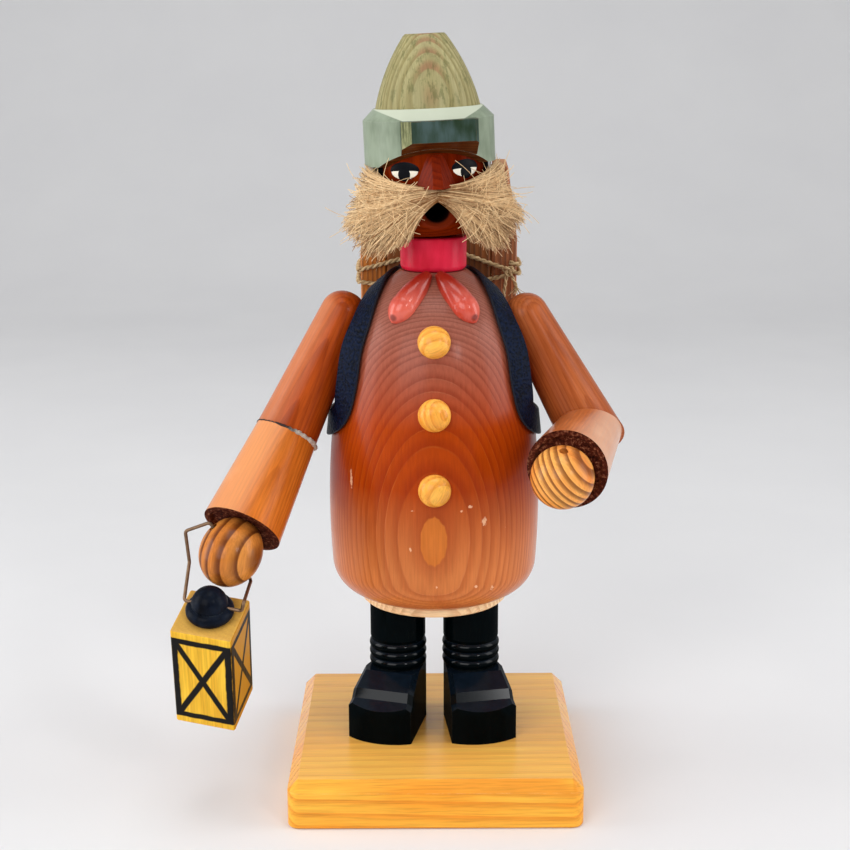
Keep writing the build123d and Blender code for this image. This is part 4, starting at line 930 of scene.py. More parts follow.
def grid_faces(columns, rows, turned=False):
    """Faces of a grid whose points run up each column in turn."""
    faces = []
    for column in range(columns):
        for row in range(rows):
            a = column * (rows + 1) + row
            b, c, d = a + rows + 1, a + rows + 2, a + 1
            faces.append((a, d, c, b) if turned else (a, b, c, d))
    return faces


def mottled_finish(name, grain, dark, light, rough_share, rough_least):
    """A finish of two colours, mixed by fine noise that also varies its roughness."""
    material, bench, shader, place = new_finish(name)
    mottle = bench.noise(place, grain, 3.0)
    rough = bench.times_plus(mottle, rough_share, rough_least)
    lay_on(bench, shader, bench.blend(mottle, paint(*dark), paint(*light)), rough)
    return material, shader


print("ready to add pieces to", len(solids), "solids")

# %% [markdown]
# The eyes are three strokes of paint: a white almond, a round black pupil that touches the lid, and a
# thick black lid above. Flat discs would float on a round head, so each stroke is a small grid laid on
# the head's cylinder, its rim sunk into the wood and its middle a tenth of a millimetre proud.


# %% Eyes
def on_cheek(degrees, height, lift):
    """A point on the head at an angle from the nose, with heights and lift in mm."""
    turn = math.radians(degrees)
    reach = HEAD_R + lift
    return head_frame @ (Vector((math.sin(turn) * reach, -math.cos(turn) * reach, height)) * MM)


EYE_TURN, STROKE_SUNK, STROKE_COLUMNS, STROKE_ROWS = 31.6, 0.04, 22, 6


def brush_stroke(middle, half, low, high, lift):
    """Points of a stroke; low and high edges are each a height, a swell and the swell's power."""
    points = []
    for column in range(STROKE_COLUMNS + 1):
        across = -1 + 2 * column / STROKE_COLUMNS
        round_off = max(0.0, 1 - across * across)
        low_z, high_z = (height + swell * round_off**power for height, swell, power in (low, high))
        for row in range(STROKE_ROWS + 1):
            up = row / STROKE_ROWS
            rim = min(1.0, 3.2 * min(up, 1 - up)) * min(1.0, 5.0 * (1 - abs(across)))
            proud = -STROKE_SUNK + (lift + STROKE_SUNK) * math.sqrt(rim)
            points.append(on_cheek(middle + half * across, low_z + (high_z - low_z) * up, proud))
    return points


eye_white = mottled_finish("eye_white", 600.0, (236, 226, 204), (250, 246, 232), 0.2, 0.25)[0]
eye_black, shader = mottled_finish("eye_black", 700.0, (3, 4, 8), (10, 12, 20), 0.2, 0.3)
shader.inputs["Specular IOR Level"].default_value = 0.08
for side, sign in SIDES:
    for part, material, half, low, high, lift in (
        ("white", eye_white, 15.2, (21.4, -2.8, 0.62), (21.4, 0.9, 0.62), 0.07),
        ("pupil", eye_black, 7.2, (20.6, -2.6, 0.5), (20.6, 2.0, 0.5), 0.12),
        ("lid", eye_black, 16.4, (21.2, 0.05, 0.8), (21.6, 2.85, 0.55), 0.15),
    ):
        points = brush_stroke(sign * EYE_TURN, half, low, high, lift)
        faces = grid_faces(STROKE_COLUMNS, STROKE_ROWS)
        add_piece(f"{side}_eye_{part}", points, faces, material, "figure")
print("eyes painted at", EYE_TURN, "degrees either side of the nose")

# %% [markdown]
# The beard is two tufts of combed sisal. Each starts as a narrow bunch under the nose and fans out over
# the cheek to a blunt, ragged end that flares low on the outside. Particle hair would vanish on export,
# so every fibre is a thin three-sided tube in one mesh per side. A fibre runs from the bunch to its own
# point on the fan's outline, and a felted sheet of packed fibre behind them keeps daylight out.

# %% Fibres
plant_fibre, bench, entry, leave = new_group(
    "plant_fibre",
    [
        PLACE_INPUT,
        ("Tone", "Float", 0.5),
        ("Light", "Color", (0.7, 0.5, 0.3, 1.0)),
        ("Dark", "Color", (0.4, 0.25, 0.1, 1.0)),
    ],
    [("Color", "Color"), ("Height", "Float")],
)
speckle = bench.noise(entry["Place"], 900.0, 3.0)
shade = bench.times_plus(bench.minus(speckle, 0.5), 0.7, entry["Tone"])
bench.feed(leave["Color"], bench.blend(bench.ease(shade, 0.0, 1.0), entry["Dark"], entry["Light"]))
bench.feed(leave["Height"], speckle)


def fibre_finish(name, light, dark):
    """Dry plant fibre whose mesh carries a tone for each strand."""
    material, bench, shader, place = new_finish(name)
    tones = {"Tone": bench.mark("tone"), "Light": paint(*light), "Dark": paint(*dark)}
    fibre = bench.group(plant_fibre, {"Place": place, **tones})
    lay_on(bench, shader, fibre["Color"], 0.62, fibre["Height"], 0.2, 0.0001)
    shader.inputs["Specular IOR Level"].default_value = 0.35
    return material


def axes_along(path, facing):
    """For each point of a path, the two directions across it; facing turns them."""
    ahead = np.gradient(path, axis=0)
    ahead /= np.linalg.norm(ahead, axis=1, keepdims=True)
    across = np.cross(ahead, np.asarray(facing, float))
    across /= np.maximum(np.linalg.norm(across, axis=1, keepdims=True), 1e-9)
    return across, np.cross(across, ahead)


def tube_points(path, radii, sides, facing):
    """Rings of points round a path; facing is a rough direction for the first point of each ring."""
    path = np.asarray(path, float)
    across, upward = axes_along(path, facing)
    rings = []
    for step in range(sides):
        turn = 2 * math.pi * step / sides
        rings.append(path + (across * math.cos(turn) + upward * math.sin(turn)) * np.asarray(radii)[:, None])
    return np.stack(rings, axis=1).reshape(-1, 3)


def tube_faces(length, sides, start=0):
    """Walls and end caps of a tube whose points begin at an index."""
    faces = []
    for ring in range(length - 1):
        for step in range(sides):
            a = start + ring * sides + step
            b = start + ring * sides + (step + 1) % sides
            faces.append((a, b, b + sides, a + sides))
    faces.append(tuple(start + step for step in reversed(range(sides))))
    last = start + (length - 1) * sides
    faces.append(tuple(last + step for step in range(sides)))
    return faces


def add_fibres(name, strands, sides, material, body):
    """One mesh from many strands, each a path, its radii, a facing and a tone or a tone for each point."""
    points, faces, tones = [], [], []
    for path, radii, facing, tone in strands:
        faces += tube_faces(len(path), sides, len(tones))
        points.append(tube_points(path, radii, sides, facing))
        tones += np.repeat(np.broadcast_to(tone, len(path)), sides).tolist()
    piece = add_piece(name, np.concatenate(points), faces, material, body)
    mark_points(piece, "tone", tones)
    return piece


print("fibre group ready")

# %% [markdown]
# The fan's outline is a short list: an angle from the nose in degrees, a height and a distance from the
# head's axis in mm, walked from the top of the cheek round the flare to the chin. A fibre bends from the
# bunch to a point of it. A few are wild and veer off, as cut sisal does.

# %% Beard
beard_straw = fibre_finish("beard_straw", (246, 212, 162), (142, 92, 44))
FAN_EDGE = np.array(
    [
        (72.0, 22.4, 21.6),
        (79.0, 20.4, 22.2),
        (83.0, 17.0, 23.2),
        (85.0, 13.0, 24.4),
        (86.0, 9.0, 26.0),
        (85.0, 5.2, 28.4),
        (80.0, 2.8, 28.0),
        (74.0, 0.2, 25.6),
        (66.0, -2.6, 24.6),
        (55.0, -3.2, 24.0),
        (44.0, -2.6, 23.2),
        (34.0, -0.6, 22.4),
        (25.0, 1.0, 21.6),
    ]
)
BUNCH_REACH, FAN_BEND = 20.4, np.array((0.46, 0.20, 0.62))
FIBRES, FIBRE_STEPS, FLARE_EDGE, WILD_SHARE = 1250, 8, 0.6, 0.12


def fan_point(side, edge, share, layer, bunch):
    """A point of the fan: edge walks its outline from 0 to 1, share runs out from the bunch."""
    at = edge * (len(FAN_EDGE) - 1)
    end = np.array([np.interp(at, np.arange(len(FAN_EDGE)), FAN_EDGE[:, k]) for k in range(3)])
    start = np.array((*bunch, BUNCH_REACH))
    middle = start + (end - start) * FAN_BEND
    spot = start * (1 - share) ** 2 + middle * 2 * share * (1 - share) + end * share**2
    turn = math.radians(spot[0])
    reach = spot[2] + layer * (0.35 + 0.65 * share)
    return head_frame @ (Vector((side * math.sin(turn) * reach, -math.cos(turn) * reach, spot[1])) * MM)


def beard_fibres(side, count, chance):
    """Combed fibres from the bunch to the outline, darker at the root and finer at the end."""
    strands = []
    for _ in range(count):
        edge = chance.random()
        bunch = (chance.uniform(-1.0, 9.0), 15.2 - 2.4 * edge + chance.gauss(0.0, 0.5))
        layer = chance.uniform(-1.3, 1.3)
        first = 0.0 if chance.random() < 0.7 else chance.uniform(0.1, 0.5)
        last = min(1.16, chance.gauss(0.99, 0.05) + (0.07 * chance.random() if edge > FLARE_EDGE else 0.0))
        wild = 3.0 if chance.random() < WILD_SHARE else 1.0
        veer = chance.gauss(0.0, 0.035) * wild * (1.8 if edge > FLARE_EDGE else 1.0)
        lift = chance.gauss(0.0, 0.5) * wild
        shares = first + (last - first) * np.arange(FIBRE_STEPS + 1) / FIBRE_STEPS
        path = []
        for share in shares:
            bent = min(1.0, max(0.0, edge + veer * share * share))
            path.append(fan_point(side, bent, share, layer + lift * share**3, bunch))
        width = chance.uniform(0.12, 0.22) * MM
        radii = [width * (1.0 - 0.4 * step / FIBRE_STEPS) for step in range(FIBRE_STEPS + 1)]
        # Outer fibres are a little lighter and deeper ones darker: painted shade in the depth of the tuft.
        tone = chance.gauss(0.70, 0.22) - 0.18 * (edge > 0.55) * chance.random() + 0.05 * layer
        tones = np.clip(tone - 0.45 * np.exp(-9.0 * shares**2), 0.0, 1.0)
        strands.append((path, radii, (0.0, 0.0, 1.0), tones))
    return strands


print("fan outline points:", len(FAN_EDGE))

# %% [markdown]
# Combed fibres alone look too neat. Single curled hairs lie across each tuft and stand off the cheek,
# and a sheet of felt behind the fan closes the gaps between the fibres. The felt ends a little inside
# the outline, so that only single fibres make the ragged edge.

# %% Loose hairs and felt
LOOSE_HAIRS, HAIR_STEPS, HAIR_R, CHEEK_TURN = 150, 6, 0.10 * MM, 0.8
FELT_COLUMNS, FELT_ROWS = 40, 10


def loose_hairs(side, count, chance):
    """Curled single hairs that lie across the tuft and over the cheek."""
    strands = []
    away = head_frame.to_3x3() @ Vector((side * math.sin(CHEEK_TURN), -math.cos(CHEEK_TURN), 0.0))
    for _ in range(count):
        edge, share = 0.8 * chance.random(), chance.uniform(0.3, 0.85)
        root = fan_point(side, edge, share, 1.6, (4.0, 14.4))
        drift = (Vector((chance.gauss(0, 1), chance.gauss(0, 0.4), chance.gauss(-0.3, 1)))).normalized()
        length = chance.uniform(3.0, 10.0) * MM
        curl = chance.uniform(-1.2, 1.2)
        path = []
        for step in range(HAIR_STEPS + 1):
            along = step / HAIR_STEPS
            sideways = drift.cross(away) * (curl * along * along * length)
            outward = away * (0.25 * along * length * (1 - 0.6 * along))
            path.append(root + drift * (along * length) + sideways + outward)
        strands.append((path, [HAIR_R] * len(path), tuple(away), chance.uniform(0.7, 1.0)))
    return strands


def felt_points(side):
    """Packed fibre behind the loose ones, ending a little inside the fan's outline, with its tones."""
    chance = random.Random(40 + side)
    # The felt's tones are darker than the fibres': painted shade in the depth of the tuft.
    streaks = [chance.uniform(0.2, 0.62) for _ in range(FELT_COLUMNS + 1)]
    points, tones = [], []
    for column in range(FELT_COLUMNS + 1):
        for row in range(FELT_ROWS + 1):
            share = 0.05 + 0.84 * row / FELT_ROWS
            points.append(fan_point(side, column / FELT_COLUMNS, share, -1.2, (4.0, 14.6)))
            tones.append(streaks[column])
    return points, tones


for side, sign in SIDES:
    name = "beard_" + side
    chance = random.Random(11 + sign)
    strands = beard_fibres(sign, FIBRES, chance) + loose_hairs(sign, LOOSE_HAIRS, chance)
    tuft = add_fibres(name + "_fibres", strands, 3, beard_straw, "figure")
    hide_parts(name)
    points, tones = felt_points(sign)
    faces = grid_faces(FELT_COLUMNS, FELT_ROWS, turned=True)
    felt = add_piece(name + "_felt", points, faces, beard_straw, "figure")
    mark_points(felt, "tone", tones)
    print(name, "faces:", len(tuft.data.polygons) + len(felt.data.polygons))

# %% [markdown]
# Two straps of thin leather hold the bundle on. The hide is blue-black with a pebbled grain and soft
# creases, and its cut rims are greyer. A cell texture gives the pebbles and noise gives the creases. A
# value on the mesh tells the finish where the rim is, which holds better than looking for sharp edges.

# %% Strap leather
strap_leather, bench, shader, place = new_finish("strap_leather")
pebble_sockets = {"Vector": place, "Scale": 1250.0, "Randomness": 1.0}
pebbles = bench.add("TexVoronoi", pebble_sockets, feature="SMOOTH_F1").outputs["Distance"]
creases = bench.noise(place, 260.0, 4.0, 0.65)
grainy = bench.times_plus(creases, 0.8, pebbles)
hide = bench.blend(bench.ease(grainy, 0.45, 1.1), paint(1, 4, 12), paint(12, 24, 48))
hide = bench.blend(bench.ease(bench.mark("rim"), 0.35, 0.9), hide, paint(40, 42, 50))
lay_on(bench, shader, hide, bench.times_plus(grainy, 0.22, 0.30), grainy, 0.7, 0.0005)
shader.inputs["Specular IOR Level"].default_value = 0.07
print("strap leather mixed")

# %% [markdown]
# Each strap runs over the shoulder, down the chest and back under the arm. Cloth simulation would erase
# such a flat band, so it is swept directly: a rounded section carried along the body's surface, with
# eased turns between the keys. They are the CAD strap's keys, with one more at each end, so that both
# ends run on to the bundle.

# %% Straps
STRAP_WIDTH, STRAP_THICK, STRAP_GAP, STRAP_ROUND, STRAP_RIM = 8.6, 1.1, 0.35, 0.4, 0.45
KEY_STEPS = 10
# Each key: degrees round from the front, share of the body's height, lift, and turn to the front.
STRAP_KEYS = np.array(
    [
        (158.0, 0.900, 10.0, 0.0),
        (150.0, 0.915, 5.4, 0.0),
        (118.0, 0.961, 0.5, 0.0),
        (80.0, 0.948, 0.3, 0.0),
        (61.0, 0.874, 0.6, 0.20),
        (57.0, 0.768, 1.2, 0.45),
        (57.0, 0.670, 1.0, 0.42),
        (63.0, 0.583, 0.4, 0.12),
        (84.0, 0.536, 0.2, 0.0),
        (108.0, 0.527, 0.8, 0.0),
        (126.0, 0.527, 2.4, 0.0),
        (140.0, 0.532, 5.6, 0.0),
        (146.0, 0.532, 6.0, 0.0),
    ]
)


def eased_key(at):
    """A point between the keys on a curve that passes through each of them without a corner."""
    index = min(int(at), len(STRAP_KEYS) - 2)
    share = at - index
    before, first = STRAP_KEYS[max(index - 1, 0)], STRAP_KEYS[index]
    second, after = STRAP_KEYS[index + 1], STRAP_KEYS[min(index + 2, len(STRAP_KEYS) - 1)]
    return 0.5 * (
        2 * first
        + (second - before) * share
        + (2 * before - 5 * first + 4 * second - after) * share**2
        + (3 * first - before - 3 * second + after) * share**3
    )


def strap_line(sign):
    """Middles of the strap's sections in mm, and the direction in which each section's face looks."""
    middles, normals = [], []
    for station in range(KEY_STEPS * (len(STRAP_KEYS) - 1) + 1):
        degrees, share, lift, facing = eased_key(station / KEY_STEPS)
        height = SEAT_TOP + share * (BODY_TOP - SEAT_TOP)
        radius, outward, upward = body_surface(height)
        turn = math.radians(degrees)
        away = Vector((sign * math.sin(turn), -math.cos(turn), 0.0))
        normal = away * outward + Vector((0, 0, upward))
        rise = STRAP_GAP + STRAP_THICK * (0.5 + max(lift, 0.0))
        middles.append(away * radius + Vector((0, 0, height)) + normal * rise)
        normals.append(normal + Vector((0, -max(facing, 0.0), 0)))
    return middles, normals


strap_section = []
for corner_x, corner_y, start in ((1, 1, 0), (-1, 1, 90), (-1, -1, 180), (1, -1, 270)):
    for step in (0, 30, 60, 90):
        turn = math.radians(start + step)
        across = corner_x * (STRAP_WIDTH / 2 - STRAP_ROUND) + STRAP_ROUND * math.cos(turn)
        through = corner_y * (STRAP_THICK / 2 - STRAP_ROUND) + STRAP_ROUND * math.sin(turn)
        strap_section.append((across, through))
for side, sign in SIDES:
    name = side + "_strap"
    middles, normals = strap_line(sign)
    points, rims = [], []
    for station, (middle, normal) in enumerate(zip(middles, normals)):
        ahead = middles[min(station + 1, len(middles) - 1)]
        tangent = (ahead - middles[max(station - 1, 0)]).normalized()
        across = tangent.cross(normal).normalized()
        outward = across.cross(tangent)
        for x, y in strap_section:
            points.append((middle + across * x + outward * y) * MM)
            rims.append(max(0.0, (abs(x) - STRAP_WIDTH / 2 + STRAP_RIM) / STRAP_RIM))
    faces = tube_faces(len(middles), len(strap_section))
    strap = add_piece(name + "_leather", points, faces, strap_leather, "figure")
    mark_points(strap, "rim", rims)
    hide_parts(name)
print("straps laid; section points:", len(strap_section))

# %% [markdown]
# The bundle is six billets, split and not sawn, so each has its own tint and its rings lie another
# way. Split faces are dull and fibrous; the ends are end grain and a shade paler. A loop gives each
# billet its own material, because the tint and the pith differ from one to the next.

# %% Billets
PACK_X, PACK_Z, PACK_GAP, PACK_LEAN, BILLET_PITH = 2.0, 118.0, 0.6, 5.0, 0.03
pack_place = Vector((PACK_X, body_surface(PACK_Z)[0] + PACK_GAP, PACK_Z)) * MM
pack_frame = Matrix.Translation(pack_place) @ Matrix.Rotation(math.radians(PACK_LEAN), 4, "X")
lengthwise = tuple(pack_frame.to_3x3() @ Vector((0, 0, 1)))
billet_tints = ((170, 98, 26), (140, 76, 18), (146, 82, 24), (116, 60, 16), (130, 72, 24), (150, 86, 46))
for index, tint in enumerate(billet_tints):
    name = f"billet_{index + 1}"
    light = tuple(min(255, int(value * 1.22) + 14) for value in tint)
    dark = tuple(int(value * 0.66) for value in tint)
    pith = (BILLET_PITH * math.cos(index * 2.1), BILLET_PITH * math.sin(index * 2.1), 0.0)
    billet_wood, bench, shader, place = new_finish(name + "_wood")
    told = in_frame(bench, place, pack_frame)
    split = wood_grain(bench, told, pith, 0.0015, 0.0012, (light, tint, dark), 0.6, 0.62)
    wear_and_sheen = bench.group(worn_edges, {"Place": place, "Reach": 0.0008, "Grain": 420.0})
    along = bench.size(bench.vector("DOT_PRODUCT", bench.facing(), lengthwise))
    end_face = bench.ease(along, 0.7, 0.9)
    colour = bench.blend(bench.times(wear_and_sheen["Edge"], 0.5), split["Color"], paint(206, 162, 114))
    colour = bench.blend(bench.times(end_face, 0.45), colour, paint(196, 148, 98))
    lay_on(bench, shader, colour, split["Roughness"], split["Height"], 0.45, 0.0004)
    dress(billet_wood, name)
print("billets dressed:", len(billet_tints))

# %% [markdown]
# Twine goes twice round the bundle and is knotted on its left. Its way is a list of corners, given as it
# would be wound. A curve through them alone would cut through the wood, so it takes two control points at
# each corner, close enough that it turns round the bundle.

# %% Twine line
twine_sisal = fibre_finish("twine_sisal", (214, 186, 140), (146, 112, 70))
TWINE_R, TWINE_RISE, TWINE_STEP, TWINE_CORNER, LINE_STEP = 0.85, 50.0, 3.2, 1.1, 0.45
twine_side, twine_front, twine_back = 28.0, -1.0, 17.0
twine_turns = (
    (0.83, twine_front, 0.25),
    (0.07, twine_front, -1.10),
    (-1.0, twine_front, -0.40),
    (-1.0, twine_back, -0.25),
    (1.0, twine_back, 0.0),
    (1.0, twine_front, 0.45),
    (0.07, twine_front, 3.45),
    (-1.0, twine_front, 0.88),
    (-1.0, twine_back, 0.82),
    (1.0, twine_back, 0.95),
    (1.0, twine_front, 1.45),
    (0.86, twine_front, 1.75),
)
corners = [Vector((x * twine_side, y, TWINE_RISE + z * TWINE_STEP)) for x, y, z in twine_turns]
controls = [corners[0]]
for before, corner, after in zip(corners[:-2], corners[1:-1], corners[2:]):
    controls.append(corner + (before - corner).normalized() * TWINE_CORNER)
    controls.append(corner + (after - corner).normalized() * TWINE_CORNER)
controls.append(corners[-1])


def travelled_along(line):
    """How far each point of a line lies from its start."""
    return np.concatenate([[0.0], np.cumsum(np.linalg.norm(np.diff(line, axis=0), axis=1))])


def smooth_line(name, controls, matrix):
    """Points along a NURBS curve in a frame, in metres and evenly spaced."""
    data = bpy.data.curves.new(name, "CURVE")
    data.dimensions = "3D"
    spline = data.splines.new("NURBS")
    spline.points.add(len(controls) - 1)
    for point, control in zip(spline.points, controls):
        point.co = (*(matrix @ (control * MM)), 1.0)
    spline.order_u = 3
    spline.use_endpoint_u = True
    spline.resolution_u = 12
    holder = bpy.data.objects.new(name, data)
    mesh = bpy.data.meshes.new_from_object(holder)
    line = np.array([tuple(v.co) for v in mesh.vertices])
    bpy.data.objects.remove(holder)
    bpy.data.meshes.remove(mesh)
    bpy.data.curves.remove(data)
    travelled = travelled_along(line)
    even = np.arange(0.0, travelled[-1], LINE_STEP * MM)
    return np.stack([np.interp(even, travelled, line[:, axis]) for axis in range(3)], axis=1)


twine_line = smooth_line("twine_line", controls, pack_frame)
print("twine length in mm:", round(len(twine_line) * LINE_STEP))

# %% [markdown]
# The twine is two plies of sisal laid round each other, so two helices follow the one smooth curve.
# A texture on a plain tube could fake the lay, but the outline would stay smooth. Short stray hairs
# stand off it all along, because sisal never lies quite flat.

# %% Twine
TWINE_HAIRS = 150


def lay_rope(line, offset, ply_radius, pitch, tones, facing):
    """Strands of a laid rope in mm: one helix for each tone, side by side round a line."""
    across, upward = axes_along(line, facing)
    travelled = travelled_along(line)
    strands = []
    for ply, tone in enumerate(tones):
        turn = 2 * math.pi * (travelled / (pitch * MM) + ply / len(tones))
        path = line + (across * np.cos(turn)[:, None] + upward * np.sin(turn)[:, None]) * (offset * MM)
        strands.append((path, [ply_radius * MM] * len(path), facing, tone))
    return strands


twine_strands = lay_rope(twine_line, 0.40, 0.46, 4.4, (0.62, 0.42), (0.0, 0.3, 1.0))
chance = random.Random(5)
hair_radii = [0.07 * MM, 0.06 * MM, 0.05 * MM, 0.03 * MM]
for _ in range(TWINE_HAIRS):
    index = chance.randrange(4, len(twine_line) - 8)
    start = Vector(twine_line[index])
    along = (Vector(twine_line[index + 4]) - start).normalized()
    stray = Vector((chance.gauss(0, 1), chance.gauss(0, 1), chance.gauss(0, 1))).normalized()
    hair = []
    for share in (0, 0.33, 0.66, 1):
        lift = share * share * 1.3 * MM + 0.6 * share * MM
        hair.append(start + along * (share * 2.2 * MM) + stray * lift)
    twine_strands.append((hair, hair_radii, tuple(stray.orthogonal()), 0.75))
twine = add_fibres("twine_rope", twine_strands, 6, twine_sisal, "figure")
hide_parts("twine_lashing")
print("twine strands:", len(twine_strands))

# %% [markdown]
# The knot is an overhand knot, which a short formula draws: a trefoil that runs over and under itself.
# Its two ends hang down and fray, so each tail is a short rope with a brush of single fibres at its end.

# %% Knot
KNOT_STEPS, KNOT_SIZE, KNOT_PROUD, FRAYS = 18, 0.62, 1.95, 26
KNOT_FACING = (0.1, 1.0, 0.2)
knot_spot = Vector((0.85 * twine_side, twine_front - TWINE_R - KNOT_PROUD, TWINE_RISE + TWINE_STEP))
knot_controls = []
for step in range(KNOT_STEPS + 1):
    turn = 2 * math.pi * step / KNOT_STEPS
    loop_x = math.sin(turn) + 2 * math.sin(2 * turn)
    loop_z = math.cos(turn) - 2 * math.cos(2 * turn)
    knot_controls.append(knot_spot + Vector((loop_x, -0.9 * math.sin(3 * turn), loop_z)) * KNOT_SIZE)
knot_line = smooth_line("knot_line", knot_controls, pack_frame)
knot_strands = lay_rope(knot_line, 0.26, 0.32, 3.2, (0.66, 0.45), KNOT_FACING)
chance = random.Random(8)
for drop, sway in ((14.5, -1.6), (9.0, 3.0)):
    tail = [
        knot_spot + Vector((sway * 0.2, 0.2, -0.8)),
        knot_spot + Vector((sway * 0.7, -0.7, -drop * 0.35)),
        knot_spot + Vector((sway, -0.2, -drop * 0.66)),
    ]
    tail_line = smooth_line("tail_line", tail, pack_frame)
    knot_strands += lay_rope(tail_line, 0.30, 0.36, 4.0, (0.62, 0.45), KNOT_FACING)
    root = pack_frame.inverted() @ Vector(tail_line[-2]) / MM
    for _ in range(FRAYS):
        bent = Vector((chance.gauss(0, 0.5), chance.gauss(0, 0.4), -drop * 0.14))
        spread, out = chance.gauss(0, 1.3), chance.gauss(-0.3, 0.8)
        end = Vector((spread, out, -drop * chance.uniform(0.22, 0.36)))
        fray_line = smooth_line("fray_line", [root, root + bent, root + end], pack_frame)
        radii = np.linspace(0.13 * MM, 0.06 * MM, len(fray_line))
        knot_strands.append((fray_line, radii, KNOT_FACING, chance.uniform(0.45, 0.95)))
knot = add_fibres("twine_knot_rope", knot_strands, 6, twine_sisal, "figure")
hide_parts("twine_knot")
print("knot strands:", len(knot_strands))

# %% [markdown]
# The lantern is a block of wood painted ochre, with window bars in black: a frame on each side and a
# cross in it. Bars of geometry would stand proud, and the real ones are paint, so the finish measures
# the distance to each line in the lantern's own frame, and a little noise gives the brush its wobble.

# %% Lantern bars
LANTERN_SIDE, LANTERN_HEIGHT, LANTERN_DROP = 19.8, 39.6, 36.8
BAR_X, BAR_Z, BAR_HALF = 8.7 * MM, 15.9 * MM, 1.10 * MM
lantern_aim = Vector((-0.187, -0.021, -0.982)).normalized()
lantern_frame = (
    Matrix.Translation(hand_centres["right"] + lantern_aim * LANTERN_DROP * MM)
    @ Matrix.Rotation(math.radians(-10.8), 4, "Z")
    @ Matrix.Rotation(math.radians(6.8), 4, "Y")
    @ Matrix.Rotation(math.radians(21.5), 4, "X")
)


def bar_stroke(bench, distance, core, rim):
    """1 on a painted bar and 0 beside it, from the distance to its middle line."""
    return bench.minus(1.0, bench.ease(bench.size(distance), BAR_HALF * core, BAR_HALF * rim))


lantern_paint, bench, shader, place = new_finish("lantern_paint")
told = in_frame(bench, place, lantern_frame)
wobble = bench.noise(told, 260.0, 2.0)
shake = bench.times(bench.minus(wobble, 0.5), 0.0007)
axes = bench.parts(told)
side_x, side_y, side_z = (bench.size(axes[k]) for k in "XYZ")
on_side = bench.math("GREATER_THAN", side_x, bench.math("MAXIMUM", side_y, (LANTERN_SIDE / 2 - 0.1) * MM))
over = bench.add("Mix", {0: on_side, 2: side_x, 3: side_y}, data_type="FLOAT").outputs[0]
across = bench.math("ADD", over, shake)
upright = bench.math("ADD", side_z, shake)
outside = bench.math("MAXIMUM", bench.minus(across, BAR_X), bench.minus(upright, BAR_Z))
diagonal = math.hypot(BAR_X, BAR_Z)
slant = bench.minus(bench.times(across, BAR_Z / diagonal), bench.times(upright, BAR_X / diagonal))
inside = bench.math("LESS_THAN", outside, 0.0)
cross_bar = bench.times(bar_stroke(bench, slant, 0.75, 1.1), inside)
bars = bench.math("MAXIMUM", bar_stroke(bench, outside, 0.8, 1.2), cross_bar)
bars = bench.times(bars, bench.math("LESS_THAN", side_z, (LANTERN_HEIGHT / 2 - 0.5) * MM))
print("bars at", round(BAR_X / MM, 1), "and", round(BAR_Z / MM, 1), "mm from the middle of a side")

# %% [markdown]
# The ochre is thin enough to let the grain through. The side by the figure and the top are painted in darker
# tones of their own, picked by where they lie in the lantern's frame: painted shading that stands in for how
# the light falls on them. The cap is painted near black, and the bail is tarnished wire.

# %% Lantern paint
ochre_tones = ((255, 206, 68), (242, 186, 52), (220, 156, 40))
ochre = wood_grain(bench, told, (0.02, 0.03, 0.0), 0.0021, 0.0009, ochre_tones, 0.30, 0.42)
wear_and_sheen = bench.group(worn_edges, {"Place": place, "Reach": 0.0007, "Grain": 500.0})
colour = bench.blend(bench.times(wear_and_sheen["Edge"], 0.5), ochre["Color"], paint(176, 120, 56))
# Painted shade: the side by the figure is painted a darker ochre.
painted_side_shade = bench.math("GREATER_THAN", axes["X"], (LANTERN_SIDE / 2 - 0.2) * MM)
colour = bench.blend(bench.times(painted_side_shade, 0.75), colour, paint(176, 112, 18))
# Painted shading on the top: a duller, darker tone.
painted_top_shading = bench.math("GREATER_THAN", axes["Z"], (LANTERN_HEIGHT / 2 - 0.3) * MM)
colour = bench.blend(bench.times(painted_top_shading, 0.7), colour, paint(196, 150, 84))
colour = bench.blend(bars, colour, paint(22, 20, 19))
relief = bench.math("ADD", ochre["Height"], bars)
lay_on(bench, shader, colour, ochre["Roughness"], relief, 0.10, 0.0002)
varnish(shader, 0.06, 0.2)
dress(lantern_paint, "lantern_block")
cap_tones = ((20, 28, 42), (1, 2, 8), (84, 92, 92))
dress(painted_wood("lantern_cap_paint", *cap_tones, 0.35, 0.03, lantern_frame)[0], "lantern_cap")
wire_finish, shader = mottled_finish("bail_wire", 600.0, (92, 68, 50), (150, 122, 96), 0.3, 0.25)
shader.inputs["Metallic"].default_value = 0.85
dress(wire_finish, "lantern_bail")
print("lantern painted")

# %% [markdown]
# Inside, on the seat, a tin dish held by two nails carries the incense cone. None of it shows until the
# figure is lifted off, and then all of it does: tin with a burnt bloom, bright nails, and a pressed
# cone of dark powder with a little ash.

# %% Ember dish and cone
tin_finish, bench, shader, place = new_finish("dish_tin")
bloom_and_sheen = bench.noise(place, 220.0, 4.0, 0.6)
tin_tones = ((0.3, paint(96, 82, 66)), (0.52, paint(168, 160, 146)), (0.75, paint(200, 198, 190)))
lay_on(bench, shader, bench.ramp(bloom_and_sheen, *tin_tones), bench.times_plus(bloom_and_sheen, 0.4, 0.2))
shader.inputs["Metallic"].default_value = 0.9
dress(tin_finish, "ember_dish")
nail_finish, shader = mottled_finish("nail_steel", 900.0, (150, 148, 144), (196, 196, 196), 0.3, 0.2)
shader.inputs["Metallic"].default_value = 0.95
dress(nail_finish, "dish_nails")
cone_finish, bench, shader, place = new_finish("cone_powder")
powder = bench.noise(place, 1400.0, 4.0, 0.7)
pressed = bench.blend(bench.ease(powder, 0.35, 0.7), paint(58, 36, 24), paint(96, 66, 44))
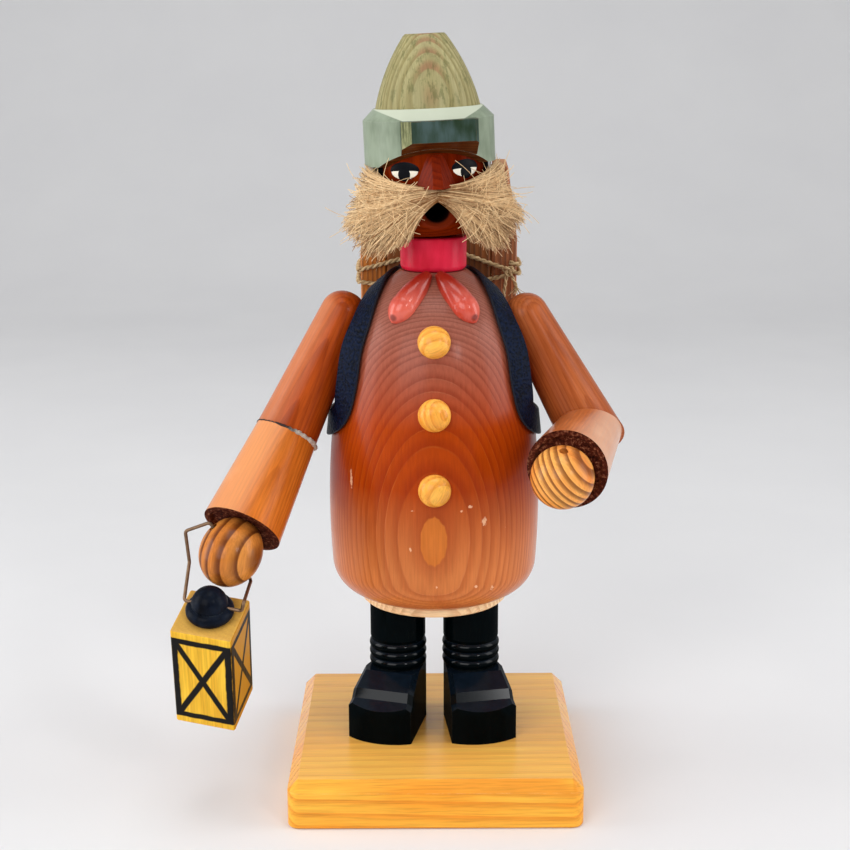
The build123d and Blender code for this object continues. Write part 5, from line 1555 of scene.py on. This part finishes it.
ash = bench.ease(bench.times_plus(powder, 0.006, bench.parts(place)["Z"]), 0.1005, 0.1025)
lay_on(bench, shader, bench.blend(ash, pressed, paint(170, 166, 160)), 0.95, powder, 0.5, 0.0004)
dress(cone_finish, "incense_cone")
print("dish, nails and cone dressed")

# %% [markdown]
# The right elbow was glued again at some time: a crumbly bead of old glue stands along the mitre, dark
# in front and chalky where it squeezed out on the inner side. It is a tube whose radius wanders, laid
# on the oval where the two sleeves meet.

# %% Glue in the elbow
old_glue, bench, shader, place = new_finish("old_glue")
crumbs = bench.noise(place, 800.0, 4.0, 0.7)
chalk = bench.ease(bench.times_plus(crumbs, 0.5, bench.mark("tone")), 0.55, 0.95)
glue_colour = bench.blend(chalk, paint(30, 12, 8), paint(196, 182, 168))
lay_on(bench, shader, glue_colour, bench.times_plus(crumbs, 0.3, 0.55), crumbs, 0.7, 0.0004)

ELBOW_R, BEAD_PROUD, BEAD_STEPS, BEAD_SIDES = 10.3, 0.02, 120, 6
upper_aim, fore_aim = limb_aims["right"]
mitre_normal = (upper_aim + fore_aim).normalized()
short_way = mitre_normal.cross(upper_aim).normalized()
long_way = short_way.cross(mitre_normal).normalized()
stretch = 1.0 / mitre_normal.dot(upper_aim)
inner_way = Vector((0.8, -0.55, -0.2)).normalized()
chance = random.Random(3)
bead_path, bead_radii, bead_tones = [], [], []
for step in range(BEAD_STEPS + 1):
    turn = 2 * math.pi * step / BEAD_STEPS
    oval = short_way * math.cos(turn) + long_way * (math.sin(turn) * stretch)
    inner = max(0.0, oval.normalized().dot(inner_way))
    wander = 0.5 + 0.5 * math.sin(step * 0.9) * math.sin(step * 0.37 + 1.0)
    spot = elbows["right"] + oval * (ELBOW_R + BEAD_PROUD) * MM
    bead_path.append(spot + mitre_normal * (chance.gauss(0, 0.10) * MM))
    bead_radii.append((0.20 + 0.55 * inner * (0.5 + wander) + chance.uniform(0, 0.12)) * MM)
    bead_tones.append(inner * 0.75)
bead_points = tube_points(bead_path, bead_radii, BEAD_SIDES, tuple(mitre_normal))
bead_faces = tube_faces(len(bead_path), BEAD_SIDES)
bead = add_piece("elbow_glue", bead_points, bead_faces, old_glue, "figure")
mark_points(bead, "tone", np.repeat(bead_tones, BEAD_SIDES).tolist())
print("glue bead points:", len(bead_points))

# %% [markdown] The dressed figure should fill the same box as the CAD, with only loose fibre standing proud.
